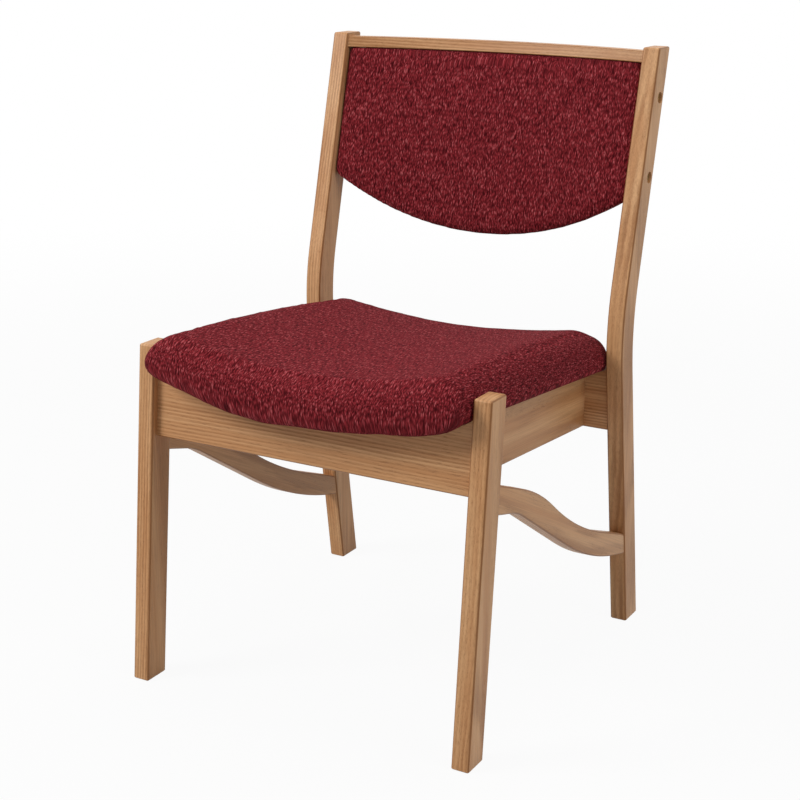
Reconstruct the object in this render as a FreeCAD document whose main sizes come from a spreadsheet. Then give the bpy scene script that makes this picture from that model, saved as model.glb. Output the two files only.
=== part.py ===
import FreeCAD, Part
import Sketcher
import math
import os

Vector = FreeCAD.Vector
Rotation = FreeCAD.Rotation

doc = FreeCAD.newDocument("choir_chair")

# Driving dimensions in millimetres. Setbacks are measured towards the back (+Y) from the front
# face of a front leg at its top, heights from the floor.
SIZES = [
    ("chair_width", 520, "across the outer faces of the side frames"),
    ("frame_thickness", 25, "legs and posts, left to right"),
    ("chair_height", 840, "floor to the top of the rear posts"),
    ("arris_radius", 3, "rounding of the long wooden edges"),
    ("foot_chamfer", 1.5, "chamfer round the end of each leg"),
    ("front_leg_height", 468, "floor to the top of a front leg"),
    ("front_leg_depth", 40, "front leg, front to back"),
    ("foot_lead", 43, "how far a front foot stands ahead of the leg's top"),
    ("post_foot_kick", 72.2, "front face of a rear post at the floor behind that at its knee"),
    ("post_foot_depth", 43, "rear post at the floor, front to back"),
    ("knee_setback", 400.1, "front face of a rear post at its knee"),
    ("knee_drop", 8.6, "knee below the top of a front leg"),
    ("knee_depth", 41.1, "rear post at the knee, front to back"),
    ("knee_radius", 320, "bend of the knee"),
    ("post_top_kick", 92.5, "front face of a rear post at its top behind that at its knee"),
    ("post_top_depth", 39, "rear post at its top, front to back"),
    ("stretcher_thickness", 22, "side stretcher, left to right"),
    ("stretcher_drop", 132.3, "middle of the stretcher below the top of a front leg"),
    ("stretcher_rear_height", 131.8, "middle of the stretcher at the rear post"),
    ("stretcher_front_width", 38, "stretcher at the front leg, top to bottom"),
    ("stretcher_rear_width", 32.4, "stretcher at the rear post, top to bottom"),
    ("rail_thickness", 20, "seat rails"),
    ("rail_bottom_drop", 124, "underside of the front rail below the top of a front leg"),
    ("rail_bottom_fall", 34, "fall of the seat rails' underside from front to back"),
    ("front_rail_recess", 10, "front rail behind the front faces of the legs"),
    ("rear_rail_inset", 23.9, "front face of the rear rail behind the knee's front"),
    ("side_rail_gap", 36, "side rail to the inner face of the side frame"),
    ("dowel_radius", 4, "beech dowels of the seat frame"),
    ("dowel_length", 34, "beech dowels of the seat frame"),
    ("small_dowel_radius", 2.5, "dowels of the top rail"),
    ("small_dowel_length", 22, "dowels of the top rail"),
    ("rail_dowel_height", 38, "middle of a seat rail's dowels above its lower edge"),
    ("stretcher_dowel_drop", 3, "middle of a stretcher's front dowels below its own middle"),
    ("stretcher_dowel_rise", 1.5, "middle of a stretcher's rear dowels above its own middle"),
    ("dowel_clearance", 0.05, "glue room round a dowel"),
    ("dowel_end_room", 1, "glue room at each end of a dowel"),
    ("dowel_spacing", 30, "between the two dowels of a seat rail joint"),
    ("small_dowel_spacing", 7.5, "between the two dowels of the top rail"),
    ("stretcher_dowel_spacing", 14, "between the two dowels of a stretcher joint"),
    ("block_leg", 62, "corner block along each rail"),
    ("block_height", 30, "corner block, top to bottom"),
    ("block_rise", 20, "underside of the corner blocks above the side rails' underside"),
    ("block_nose", 14, "square shoulder at each end of a corner block"),
    ("board_side_gap", 17, "seat board inside the inner faces of the side frames"),
    ("board_thickness", 10, "bent plywood of the seat"),
    ("form_overreach", 5, "how far the seat's dish is measured past the inner faces"),
    ("form_front_setback", -60, "front line where the seat's curve is set"),
    ("form_drop", 62, "underside of the board at the middle of the front line below the leg's top"),
    ("form_front_dish", 39, "dish of the board at the front line"),
    ("form_rear_room", 24, "rear line where the seat's curve is set, behind the seat"),
    ("form_fall", 34.4, "fall of the board's underside from the front line to the rear line"),
    ("form_rear_dish", 24.4, "dish of the board at the rear line"),
    ("board_front_setback", -16, "front edge of the seat board"),
    ("board_rear_inset", 8, "rear edge of the seat board ahead of the seat's back"),
    ("board_corner_radius", 30, "rounded corners of the seat board"),
    ("seat_side_gap", 1, "between the seat and a leg or post"),
    ("seat_front_setback", -42, "front of the seat at the middle"),
    ("seat_front_sweep", 10, "how far the front sweeps back towards the sides"),
    ("seat_rear_inset", 35.9, "back of the seat behind the knee's front"),
    ("seat_plump", 60, "thickness of the seat"),
    ("seat_crown", 6, "rise of the seat's top between front and back"),
    ("seat_shoulder", 47, "drop from the seat's top to its widest line"),
    ("seat_tuck", 10, "rise of the rounding under the sides of the seat"),
    ("seat_tuck_width", 26, "rounding under the sides of the seat, left to right"),
    ("seat_chin", 16, "rounding under the front at the middle, front to back"),
    ("seat_chin_side", 6, "rounding under the front at the sides, front to back"),
    ("seat_nose", 34, "rounding over the front, front to back"),
    ("seat_heel", 12, "rounding under the back, front to back"),
    ("seat_tail", 24, "rounding over the back, front to back"),
    ("seat_corner_radius", 8, "front corners of the seat, seen from above"),
    ("seat_rear_corner_radius", 16, "rear corners of the seat, seen from above"),
    ("seat_slope_width", 48, "rounding over the sides of the seat, left to right"),
    ("cover_thickness", 1.5, "seat and back fabric"),
    ("cope_rise", 8, "front and rear rails under the seat's rounded sides, above the board's line"),
    ("seat_clearance", 0.3, "between the upholstery and the wood beside it"),
    ("hem_width", 46, "how far the cover is folded under the seat board"),
    ("dust_cover_thickness", 0.8, "black cloth under the seat"),
    ("seat_screw_radius", 2.5, "seat fixing screws"),
    ("seat_screw_head_radius", 5.5, "heads of the seat fixing screws"),
    ("seat_screw_head_height", 3, "heads of the seat fixing screws"),
    ("block_screw_radius", 2.25, "screws that hold the corner blocks"),
    ("block_screw_length", 34, "screws that hold the corner blocks"),
    ("block_screw_grip", 20, "wood of the corner block under each screw head"),
    ("block_screw_place", 52, "corner block screws from the rails' corner"),
    ("seat_screw_place", 24, "seat fixing screws from the rails' corner"),
    ("seat_screw_bite", 8, "seat fixing screws into the seat board"),
    ("block_screw_head_radius", 4.2, "heads of the corner block screws"),
    ("block_screw_head_height", 2.6, "heads of the corner block screws"),
    ("insert_radius", 4.5, "threaded inserts"),
    ("insert_length", 13, "threaded inserts of the back"),
    ("rail_recess", 3, "top rail behind the front faces of the posts"),
    ("top_rail_depth", 18.5, "top rail, front to back"),
    ("top_rail_height", 15.7, "top rail, top to bottom"),
    ("top_rail_drop", 5, "top of the top rail below the posts' tops"),
    ("back_bow", 35, "how far the middle of the back sits behind its ends"),
    ("pad_recess", 5, "front of the back pad behind the front faces of the posts"),
    ("pad_depth", 31, "back pad, front to back"),
    ("pad_side_gap", 1.5, "between the back pad and a post"),
    ("pad_height", 254.5, "back pad at its middle, top to bottom"),
    ("pad_edge_radius", 411, "curve of the back pad's lower edge"),
    ("pad_crown", 4, "swell of the back pad's front"),
    ("pad_rounding", 9, "rounding of the back pad's edges"),
    ("pad_brow", 6, "ease of the pad's front under its top edge, top to bottom"),
    ("pad_lip", 3, "ease of the pad's front under its top edge, front to back"),
    ("pad_chin", 5, "rounding of the back pad's lower front edge"),
    ("pad_heel", 11, "rounding of the back pad's lower rear edge"),
    ("panel_recess", 16, "front of the back panel behind the posts' front faces"),
    ("panel_thickness", 10, "bent plywood of the back"),
    ("panel_edge_room", 2, "wadding round the lower edge of the back panel"),
    ("batten_width", 23.5, "upright battens at the ends of the back panel, left to right"),
    ("batten_recess", 16.5, "front of the battens behind the posts' front faces"),
    ("batten_thickness", 18, "upright battens, front to back"),
    ("bolt_upper_drop", 46.5, "upper back bolts below the pad's top"),
    ("bolt_lower_drop", 152.7, "lower back bolts below the pad's top"),
    ("bolt_radius", 3, "shanks of the back bolts"),
    ("bolt_head_radius", 6.4, "heads of the back bolts"),
    ("bolt_head_height", 2.6, "heads of the back bolts"),
    ("counterbore_radius", 8, "counterbores in the posts"),
    ("counterbore_depth", 5.5, "counterbores in the posts"),
    ("hole_clearance", 0.3, "round a bolt that passes through wood"),
]

sheet = doc.addObject("Spreadsheet::Sheet", "sizes")
for row, (alias, number, note) in enumerate(SIZES, start=1):
    sheet.set(f"A{row}", alias)
    sheet.set(f"B{row}", str(number))
    sheet.set(f"C{row}", note)
    sheet.setAlias(f"B{row}", alias)
doc.recompute()


class Size:
    """A length that knows its number and the expression that the document keeps for it."""

    def __init__(self, number, text):
        self.number = float(number)
        self.text = text

    def __add__(self, other):
        other = as_size(other)
        return Size(self.number + other.number, f"({self.text} + {other.text})")

    def __sub__(self, other):
        other = as_size(other)
        return Size(self.number - other.number, f"({self.text} - {other.text})")

    def __mul__(self, other):
        other = as_size(other)
        return Size(self.number * other.number, f"({self.text} * {other.text})")

    def __truediv__(self, other):
        other = as_size(other)
        return Size(self.number / other.number, f"({self.text} / {other.text})")

    def __neg__(self):
        return Size(-self.number, f"(0 - {self.text})")

    def __radd__(self, other):
        return as_size(other) + self

    def __rsub__(self, other):
        return as_size(other) - self

    def __rmul__(self, other):
        return as_size(other) * self

    def root(self):
        return Size(math.sqrt(self.number), f"sqrt({self.text})")


def as_size(value):
    return value if isinstance(value, Size) else Size(value, f"({value})")


def named(alias):
    return Size(sheet.get(alias), f"sizes.{alias}")


size = {alias: named(alias) for alias, number, note in SIZES}

# Levels and lines that several pieces share
half_width = size["chair_width"] / 2
inner_face = half_width - size["frame_thickness"]
leg_top = size["front_leg_height"]
size["knee_height"] = leg_top - size["knee_drop"]
size["post_foot_setback"] = size["knee_setback"] + size["post_foot_kick"]
size["post_top_setback"] = size["knee_setback"] + size["post_top_kick"]
size["stretcher_front_height"] = leg_top - size["stretcher_drop"]
size["rail_bottom_front"] = leg_top - size["rail_bottom_drop"]
size["rail_bottom_rear"] = size["rail_bottom_front"] - size["rail_bottom_fall"]
size["rear_rail_setback"] = size["knee_setback"] + size["rear_rail_inset"]
size["seat_half_width"] = inner_face - size["seat_side_gap"]
size["seat_rear_setback"] = size["knee_setback"] + size["seat_rear_inset"]
size["board_half_width"] = inner_face - size["board_side_gap"]
size["board_rear_setback"] = size["seat_rear_setback"] - size["board_rear_inset"]
size["form_half_width"] = inner_face + size["form_overreach"]
size["form_front_height"] = leg_top - size["form_drop"]
size["form_rear_height"] = size["form_front_height"] - size["form_fall"]
size["form_rear_setback"] = size["seat_rear_setback"] + size["form_rear_room"]
post_back_top = size["post_top_setback"] + size["post_top_depth"]
leg_lean = size["foot_lead"] / size["front_leg_height"]
post_lower_lean = (size["post_foot_setback"] - size["knee_setback"]) / size["knee_height"]
post_upper_rise = size["chair_height"] - size["knee_height"]
post_upper_lean = (size["post_top_setback"] - size["knee_setback"]) / post_upper_rise
top_rail_top = size["chair_height"] - size["top_rail_drop"]
top_rail_bottom = top_rail_top - size["top_rail_height"]
pad_top = top_rail_bottom - size["seat_clearance"]
size["pad_middle_height"] = pad_top - size["pad_height"]
size["bolt_upper_height"] = pad_top - size["bolt_upper_drop"]
size["bolt_lower_height"] = pad_top - size["bolt_lower_drop"]


def leg_front(height):
    """Setback of the front leg's front face."""
    return leg_lean * height - size["foot_lead"]


def leg_back(height):
    return leg_front(height) + size["front_leg_depth"]


def post_front_below(height):
    """Setback of the rear post's front face under the knee."""
    return size["post_foot_setback"] - post_lower_lean * height


def post_front_above(height):
    """Setback of the rear post's front face over the knee."""
    return size["post_top_setback"] - post_upper_lean * (size["chair_height"] - height)


# The chair's frontmost edge is at a front foot, its rearmost at the middle of the back's upper edge
foremost = leg_front(size["foot_chamfer"])
rearmost = post_front_above(pad_top) + size["pad_recess"] + size["pad_depth"] + size["back_bow"]
origin_setback = (rearmost + foremost) / 2


def form_share(setback):
    """How far a setback lies from the seat form's front line, 1 at its rear line."""
    length = size["form_rear_setback"] - size["form_front_setback"]
    return (as_size(setback) - size["form_front_setback"]) / length


def board_height(setback):
    """Underside of the seat board at its middle."""
    fall = size["form_front_height"] - size["form_rear_height"]
    return size["form_front_height"] - fall * form_share(setback)


def board_dish(setback):
    change = size["form_front_dish"] - size["form_rear_dish"]
    return size["form_front_dish"] - change * form_share(setback)


def arc_radius(half_chord, rise):
    return (half_chord * half_chord + rise * rise) / (2 * rise)


def dish_radius(setback):
    return arc_radius(size["form_half_width"], board_dish(setback))


def board_level(across, setback):
    """Underside of the seat board at a distance across from the middle, nearly."""
    share = as_size(across) / size["form_half_width"]
    return board_height(setback) + board_dish(setback) * share * share


# Helpers that make and bind the document's objects
def bind(thing, path, value):
    thing.setExpression(path, as_size(value).text)


def place(thing, x=0, y=0, z=0):
    """Binds an object's place, with y as a setback from the leg's top."""
    bind(thing, "Placement.Base.x", x)
    bind(thing, "Placement.Base.y", as_size(y) - origin_setback)
    bind(thing, "Placement.Base.z", z)


def turn_about_x(thing, lean):
    """Leans an object back by the given lean, a run over a rise."""
    thing.setExpression("Placement.Rotation.Axis.x", "1")
    thing.setExpression("Placement.Rotation.Axis.z", "0")
    thing.setExpression("Placement.Rotation.Angle", f"-atan({lean.text})")


def body_named(label):
    body = doc.addObject("PartDesign::Body", label)
    body.Label = label
    return body


def sketch_on(body, plane, label, offset=None):
    sketch = body.newObject("Sketcher::SketchObject", label)
    support = [item for item in body.Origin.OriginFeatures if item.Role == plane][0]
    sketch.AttachmentSupport = [(support, "")]
    sketch.MapMode = "FlatFace"
    if offset is not None:
        bind(sketch, "AttachmentOffset.Base.z", offset)
    return sketch


def pin_point(sketch, edge, end, point, label):
    """Ties one end of a sketch edge to two bound distances from the origin."""
    for kind, value in zip(("DistanceX", "DistanceY"), point):
        value = as_size(value)
        index = sketch.addConstraint(Sketcher.Constraint(kind, -1, 1, edge, end, value.number))
        name = f"{label}_{kind[-1].lower()}"
        sketch.renameConstraint(index, name)
        bind(sketch, f"Constraints.{name}", value)


def outline(sketch, points, hollows=None, arches=None):
    """A closed outline through bound points. hollows and arches map an edge to the radius of an
    arc over a level chord, with its centre above the chord for a hollow and below it for an arch."""
    bends = {**(hollows or {}), **(arches or {})}
    count = len(points)
    ends = []
    for index in range(count):
        x0, y0 = (as_size(v).number for v in points[index])
        x1, y1 = (as_size(v).number for v in points[(index + 1) % count])
        if index in bends:
            radius = bends[index].number
            half = abs(x1 - x0) / 2
            rise = math.sqrt(radius ** 2 - half ** 2)
            hollow = index in (hollows or {})
            centre = Vector((x0 + x1) / 2, y0 + rise if hollow else y0 - rise, 0)
            tilt = math.atan2(rise, half)
            start, finish = (tilt - math.pi, -tilt) if hollow else (tilt, math.pi - tilt)
            circle = Part.Circle(centre, Vector(0, 0, 1), radius)
            sketch.addGeometry(Part.ArcOfCircle(circle, start, finish), False)
            ends.append((1, 2) if (x0 < x1) == hollow else (2, 1))
        else:
            sketch.addGeometry(Part.LineSegment(Vector(x0, y0, 0), Vector(x1, y1, 0)), False)
            ends.append((1, 2))
    for index in range(count):
        follower = (index + 1) % count
        sketch.addConstraint(
            Sketcher.Constraint("Coincident", index, ends[index][1], follower, ends[follower][0])
        )
    for index in range(count):
        pin_point(sketch, index, ends[index][0], points[index], f"corner{index}")
    for index, radius in bends.items():
        mark = sketch.addConstraint(Sketcher.Constraint("Radius", index, radius.number))
        sketch.renameConstraint(mark, f"radius{index}")
        bind(sketch, f"Constraints.radius{index}", radius)
    return sketch


def pad(body, sketch, length, backwards=False):
    feature = body.newObject("PartDesign::Pad", f"{body.Name}_pad")
    feature.Profile = sketch
    feature.Reversed = backwards
    bind(feature, "Length", length)
    doc.recompute()
    return feature


def dress(body, kind, base, edges, amount):
    """Adds a fillet or a chamfer on the numbered edges of the body's last feature."""
    feature = body.newObject(f"PartDesign::{kind}", f"{body.Name}_{kind.lower()}_{len(body.Group)}")
    feature.Base = (base, [f"Edge{number}" for number in edges])
    bind(feature, "Radius" if kind == "Fillet" else "Size", amount)
    doc.recompute()
    return feature


def edges_where(feature, test):
    """Numbers of the edges whose two ends pass the test."""
    found = []
    for number, edge in enumerate(feature.Shape.Edges, start=1):
        ends = [vertex.Point for vertex in edge.Vertexes]
        if len(ends) == 2 and test(*ends):
            found.append(number)
    return found


def along_x(height_low, height_high):
    """Picks the edges that run left to right between two heights."""
    def test(a, b):
        level = (a.z + b.z) / 2
        return abs(a.y - b.y) < 0.01 and abs(a.z - b.z) < 0.01 and height_low < level < height_high
    return test


finished = []


def keep(thing, node):
    thing.Label = node
    finished.append(thing)
    return thing


holes = {}
pegs = {}


def cylinder(label, radius, length, axis, x, y, z):
    """A bound cylinder whose middle is at x, y, z and whose axis is X, Y or Z."""
    rod = doc.addObject("Part::Cylinder", label)
    bind(rod, "Radius", radius)
    bind(rod, "Height", length)
    back = as_size(length) / 2
    if axis == "X":
        rod.Placement.Rotation = Rotation(Vector(0, 1, 0), 90)
        place(rod, as_size(x) - back, y, z)
    elif axis == "Y":
        rod.Placement.Rotation = Rotation(Vector(1, 0, 0), -90)
        place(rod, x, as_size(y) - back, z)
    else:
        place(rod, x, y, as_size(z) - back)
    return rod


def dowel(group, members, axis, x, y, z, radius=None, length=None):
    """A dowel across the joint of two members, with the hole that each of them gets."""
    radius = radius or size["dowel_radius"]
    length = length or size["dowel_length"]
    label = f"{group}_{len(pegs.get(group, [])) + 1}"
    pegs.setdefault(group, []).append(cylinder(label, radius, length, axis, x, y, z))
    wide = radius + size["dowel_clearance"]
    long = length + 2 * size["dowel_end_room"]
    for member in members:
        hole = cylinder(f"{label}_{member}_hole", wide, long, axis, x, y, z)
        holes.setdefault(member, []).append(hole)


def bored(blank, node):
    """The blank with every hole that was asked for under its name."""
    tools = holes.get(node, [])
    if not tools:
        return keep(blank, node)
    blank.Label = f"{node}_blank"
    cut = doc.addObject("Part::Cut", f"{node}_bored")
    cut.Base = blank
    if len(tools) == 1:
        cut.Tool = tools[0]
    else:
        bundle = doc.addObject("Part::Compound", f"{node}_holes")
        bundle.Links = tools
        cut.Tool = bundle
    return keep(cut, node)


sides = (("left", 1), ("right", -1))


def frame_side(sign, thickness=None, inset=0):
    """Lowest x of a piece of the side frame on one side."""
    thickness = thickness or size["frame_thickness"]
    if sign > 0:
        return inner_face + inset
    return -(inner_face + inset + thickness)


# Front legs, raked forward at the foot
def make_front_leg(side, sign):
    node = f"front_leg_{side}"
    body = body_named(f"{node}_body")
    top = size["front_leg_height"]
    points = [
        (leg_front(0), 0),
        (leg_back(0), 0),
        (leg_back(top), top),
        (leg_front(top), top),
    ]
    sketch = outline(sketch_on(body, "YZ_Plane", f"{node}_outline"), points)
    base = pad(body, sketch, size["frame_thickness"])
    rounded = dress(body, "Fillet", base, edges_where(base, lambda a, b: max(a.z, b.z) > 0.01),
                    size["arris_radius"])
    dress(body, "Chamfer", rounded, edges_where(rounded, lambda a, b: max(a.z, b.z) < 0.01),
          size["foot_chamfer"])
    place(body, frame_side(sign))
    return body


# Rear posts, with a rounded knee at the height of the seat. Edges across the post that start
# within this height of the knee are its bend's own.
KNEE_REACH = 120


def make_rear_post(side, sign):
    node = f"rear_post_{side}"
    body = body_named(f"{node}_body")
    knee_back = size["knee_setback"] + size["knee_depth"]
    points = [
        (size["post_foot_setback"], 0),
        (size["post_foot_setback"] + size["post_foot_depth"], 0),
        (knee_back, size["knee_height"]),
        (post_back_top, size["chair_height"]),
        (size["post_top_setback"], size["chair_height"]),
        (size["knee_setback"], size["knee_height"]),
    ]
    sketch = outline(sketch_on(body, "YZ_Plane", f"{node}_outline"), points)
    base = pad(body, sketch, size["frame_thickness"])
    knee = size["knee_height"].number
    bend = dress(body, "Fillet", base, edges_where(base, along_x(knee - 1, knee + 1)),
                 size["knee_radius"])
    edges = edges_where(bend, lambda a, b: max(a.z, b.z) > 0.01 and not
                        along_x(knee - KNEE_REACH, knee + KNEE_REACH)(a, b))
    rounded = dress(body, "Fillet", bend, edges, size["arris_radius"])
    dress(body, "Chamfer", rounded, edges_where(rounded, lambda a, b: max(a.z, b.z) < 0.01),
          size["foot_chamfer"])
    place(body, frame_side(sign))
    return body


# S-shaped side stretchers, from the back of a front leg down to the front of a rear post.
# The S turns down behind the front leg and levels out ahead of the rear post: each bend is given
# as a share of the way along, a share of the way down, and how wide it is. A steeper S has
# tighter bends.
HUMP = (0.283, 0.126, 0.43153)
HOLLOW = (0.131, 0.169, 0.14763)
UPPER_SWEEP = (0.593, 0.603, 0.78357)
LOWER_SWEEP = (0.723, 0.936, 0.78357)


def make_stretcher(side, sign):
    node = f"side_stretcher_{side}"
    body = body_named(f"{node}_body")
    front = size["stretcher_front_height"]
    rear = size["stretcher_rear_height"]
    start = leg_back(front)
    span = post_front_below(rear) - start

    def bend(shares):
        return start + shares[0] * span, front - shares[1] * (front - rear)

    front_top = front + size["stretcher_front_width"] / 2
    front_bottom = front - size["stretcher_front_width"] / 2
    rear_top = rear + size["stretcher_rear_width"] / 2
    rear_bottom = rear - size["stretcher_rear_width"] / 2
    points = [
        (leg_back(front_bottom), front_bottom),
        bend(HOLLOW),
        bend(LOWER_SWEEP),
        (post_front_below(rear_bottom), rear_bottom),
        (post_front_below(rear_top), rear_top),
        bend(UPPER_SWEEP),
        bend(HUMP),
        (leg_back(front_top), front_top),
    ]
    sketch = outline(sketch_on(body, "YZ_Plane", f"{node}_outline"), points)
    shape = pad(body, sketch, size["stretcher_thickness"])
    for shares in (HOLLOW, LOWER_SWEEP, UPPER_SWEEP, HUMP):
        across, level = (value.number for value in bend(shares))
        corner = edges_where(shape, lambda a, b: max(
            abs(a.y - across), abs(b.y - across), abs(a.z - level), abs(b.z - level)) < 0.01)
        shape = dress(body, "Fillet", shape, corner, span * span / (front - rear) * shares[2])
    width = size["stretcher_thickness"].number
    long = edges_where(shape, lambda a, b: abs(a.x - b.x) < 0.01 and abs(a.y - b.y) > 15
                       and abs(a.x * (a.x - width)) < 0.01)
    dress(body, "Fillet", shape, long, size["arris_radius"])
    inset = (size["frame_thickness"] - size["stretcher_thickness"]) / 2
    place(body, frame_side(sign, size["stretcher_thickness"], inset))
    return body


# Seat rails. Their tops follow the dished underside of the upholstered seat.
leg_stretch = (1 + leg_lean * leg_lean).root()
seat_gap = size["cover_thickness"] + size["seat_clearance"]
rail_fall = size["rail_bottom_front"] - size["rail_bottom_rear"]
rail_run = size["rear_rail_setback"] - leg_front(size["rail_bottom_front"])
side_rail_outer = inner_face - size["side_rail_gap"]
side_rail_inner = side_rail_outer - size["rail_thickness"]
rear_rail_back = size["rear_rail_setback"] + size["rail_thickness"]


def front_rail_face(height):
    return leg_front(height) + size["front_rail_recess"]


def front_rail_back(height):
    return front_rail_face(height) + size["rail_thickness"] * leg_stretch


def rail_bottom(setback):
    """Underside of the side rails."""
    share = (as_size(setback) - leg_front(size["rail_bottom_front"])) / rail_run
    return size["rail_bottom_front"] - rail_fall * share


def round_long_edges(body, feature, level):
    """Rounds the two lower edges that run left to right at a level."""
    edges = edges_where(feature, along_x(level - 1, level + 1))
    return dress(body, "Fillet", feature, edges, size["arris_radius"])


def cross_rail(node, middle_top, radius, stretch=None):
    """A rail between the side frames whose top is hollowed to an arc."""
    body = body_named(f"{node}_body")
    rise = radius - (radius * radius - inner_face * inner_face).root()
    tall = middle_top if stretch is None else middle_top * stretch
    points = [
        (-inner_face, 0),
        (inner_face, 0),
        (inner_face, tall + rise),
        (-inner_face, tall + rise),
    ]
    sketch = outline(sketch_on(body, "XZ_Plane", f"{node}_outline"), points, hollows={2: radius})
    base = pad(body, sketch, size["rail_thickness"], backwards=True)
    round_long_edges(body, base, 0)
    return body


def make_front_rail():
    bottom = size["rail_bottom_front"]
    middle = front_rail_face(board_height(0)) + size["rail_thickness"] / 2
    top = board_height(middle) - seat_gap + size["cope_rise"] - bottom
    body = cross_rail("front_rail", top, dish_radius(middle), leg_stretch)
    turn_about_x(body, leg_lean)
    place(body, 0, front_rail_face(bottom), bottom)
    return body


def make_rear_rail():
    bottom = size["rail_bottom_rear"]
    top = board_height(rear_rail_back) - seat_gap + size["cope_rise"] - bottom
    body = cross_rail("rear_rail", top, dish_radius(rear_rail_back))
    place(body, 0, size["rear_rail_setback"], bottom)
    return body


def make_side_rail(side, sign):
    node = f"side_rail_{side}"
    body = body_named(f"{node}_body")
    front_low = rail_bottom(front_rail_back(size["rail_bottom_front"]))
    front_high = board_level(side_rail_inner, front_rail_back(size["form_front_height"])) - seat_gap
    rear_high = board_level(side_rail_inner, size["rear_rail_setback"]) - seat_gap
    points = [
        (front_rail_back(front_low), front_low),
        (size["rear_rail_setback"], size["rail_bottom_rear"]),
        (size["rear_rail_setback"], rear_high),
        (front_rail_back(front_high), front_high),
    ]
    sketch = outline(sketch_on(body, "YZ_Plane", f"{node}_outline"), points)
    base = pad(body, sketch, size["rail_thickness"])
    low = edges_where(base, lambda a, b: abs(a.x - b.x) < 0.01 and abs(a.y - b.y) > 50
                      and max(a.z, b.z) < front_low.number + 1)
    dress(body, "Fillet", base, low, size["arris_radius"])
    place(body, side_rail_inner if sign > 0 else -side_rail_outer)
    return body


# Dowels of the seat frame, the stretchers and the top rail.
# A side rail's dowel goes this share of the way through the rail that it joins.
DOWEL_SHARE = 0.6


def rail_dowels():
    middle = size["rail_thickness"] / 2
    sunk = size["dowel_length"] / 2 - size["rail_thickness"] * DOWEL_SHARE
    for side, sign in sides:
        for step, low in enumerate((size["rail_bottom_front"], size["rail_bottom_rear"])):
            for turn in (-0.5, 0.5):
                height = low + size["rail_dowel_height"] + turn * size["dowel_spacing"]
                if step == 0:
                    across = front_rail_face(height) + middle * leg_stretch
                    members = ("front_rail", f"front_leg_{side}")
                    dowel("front_rail_dowels", members, "X", sign * inner_face, across, height)
                else:
                    across = size["rear_rail_setback"] + middle
                    members = ("rear_rail", f"rear_post_{side}")
                    dowel("rear_rail_dowels", members, "X", sign * inner_face, across, height)
        across = sign * (side_rail_inner + middle)
        for turn in (-0.5, 0.5):
            rise = size["rail_dowel_height"] + turn * size["dowel_spacing"]
            height = rail_bottom(0) + rise
            members = ("front_rail", f"side_rail_{side}")
            dowel("side_rail_dowels", members, "Y", across, front_rail_back(height) + sunk, height)
            height = size["rail_bottom_rear"] + rise
            members = ("rear_rail", f"side_rail_{side}")
            dowel("side_rail_dowels", members, "Y", across, size["rear_rail_setback"] - sunk, height)


def stretcher_dowels():
    for side, sign in sides:
        across = sign * (inner_face + size["frame_thickness"] / 2)
        for turn in (-0.5, 0.5):
            step = turn * size["stretcher_dowel_spacing"]
            height = size["stretcher_front_height"] - size["stretcher_dowel_drop"] + step
            members = (f"side_stretcher_{side}", f"front_leg_{side}")
            dowel("stretcher_dowels", members, "Y", across, leg_back(height), height)
            height = size["stretcher_rear_height"] + size["stretcher_dowel_rise"] + step
            members = (f"side_stretcher_{side}", f"rear_post_{side}")
            dowel("stretcher_dowels", members, "Y", across, post_front_below(height), height)


# Curved back: every piece follows one arc in plan and leans back with the posts
back_radius = arc_radius(inner_face, size["back_bow"])


def bow_at(across):
    """How far the back has swept back at a distance from the middle."""
    across = as_size(across)
    depth = back_radius - (back_radius * back_radius - across * across).root()
    return size["back_bow"] - depth


def bowed_board(node, half, recess, depth, bottom, top):
    """A board between two arcs in plan, leaning back with the posts."""
    body = body_named(f"{node}_body")
    end = bow_at(half)
    front = recess + end
    points = [(-half, front), (half, front), (half, front + depth), (-half, front + depth)]
    arches = {0: back_radius, 2: back_radius}
    sketch = outline(sketch_on(body, "XY_Plane", f"{node}_outline"), points, arches=arches)
    feature = pad(body, sketch, top - bottom)
    feature.UseCustomVector = True
    feature.AlongSketchNormal = True
    feature.Direction = Vector(0, post_upper_lean.number, 1)
    bind(feature, "Direction.y", post_upper_lean)
    doc.recompute()
    place(body, 0, post_front_above(bottom), bottom)
    return body, feature


def make_top_rail():
    body, feature = bowed_board("top_rail", inner_face, size["rail_recess"],
                                size["top_rail_depth"], top_rail_bottom, top_rail_top)
    long = edges_where(feature, lambda a, b: abs(a.x - b.x) > 100)
    dress(body, "Fillet", feature, long, size["arris_radius"] / 2)
    return body


def top_rail_dowels():
    height = top_rail_bottom + size["top_rail_height"] / 2
    middle = post_front_above(height) + size["rail_recess"] + size["top_rail_depth"] / 2
    # The rail sweeps back from its ends, so its dowels sit behind its middle there
    middle += bow_at(inner_face - size["small_dowel_length"] / 2) / 2
    for side, sign in sides:
        for turn in (-0.5, 0.5):
            setback = middle + turn * size["small_dowel_spacing"]
            members = ("top_rail", f"rear_post_{side}")
            dowel("top_rail_dowels", members, "X", sign * inner_face, setback, height,
                  size["small_dowel_radius"], size["small_dowel_length"])


pad_half = inner_face - size["pad_side_gap"]
panel_edge_gap = size["cover_thickness"] + size["panel_edge_room"]


def pad_bottom(across):
    """Lower edge of the back pad at a distance from the middle."""
    radius = size["pad_edge_radius"]
    across = as_size(across)
    return size["pad_middle_height"] + radius - (radius * radius - across * across).root()


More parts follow.
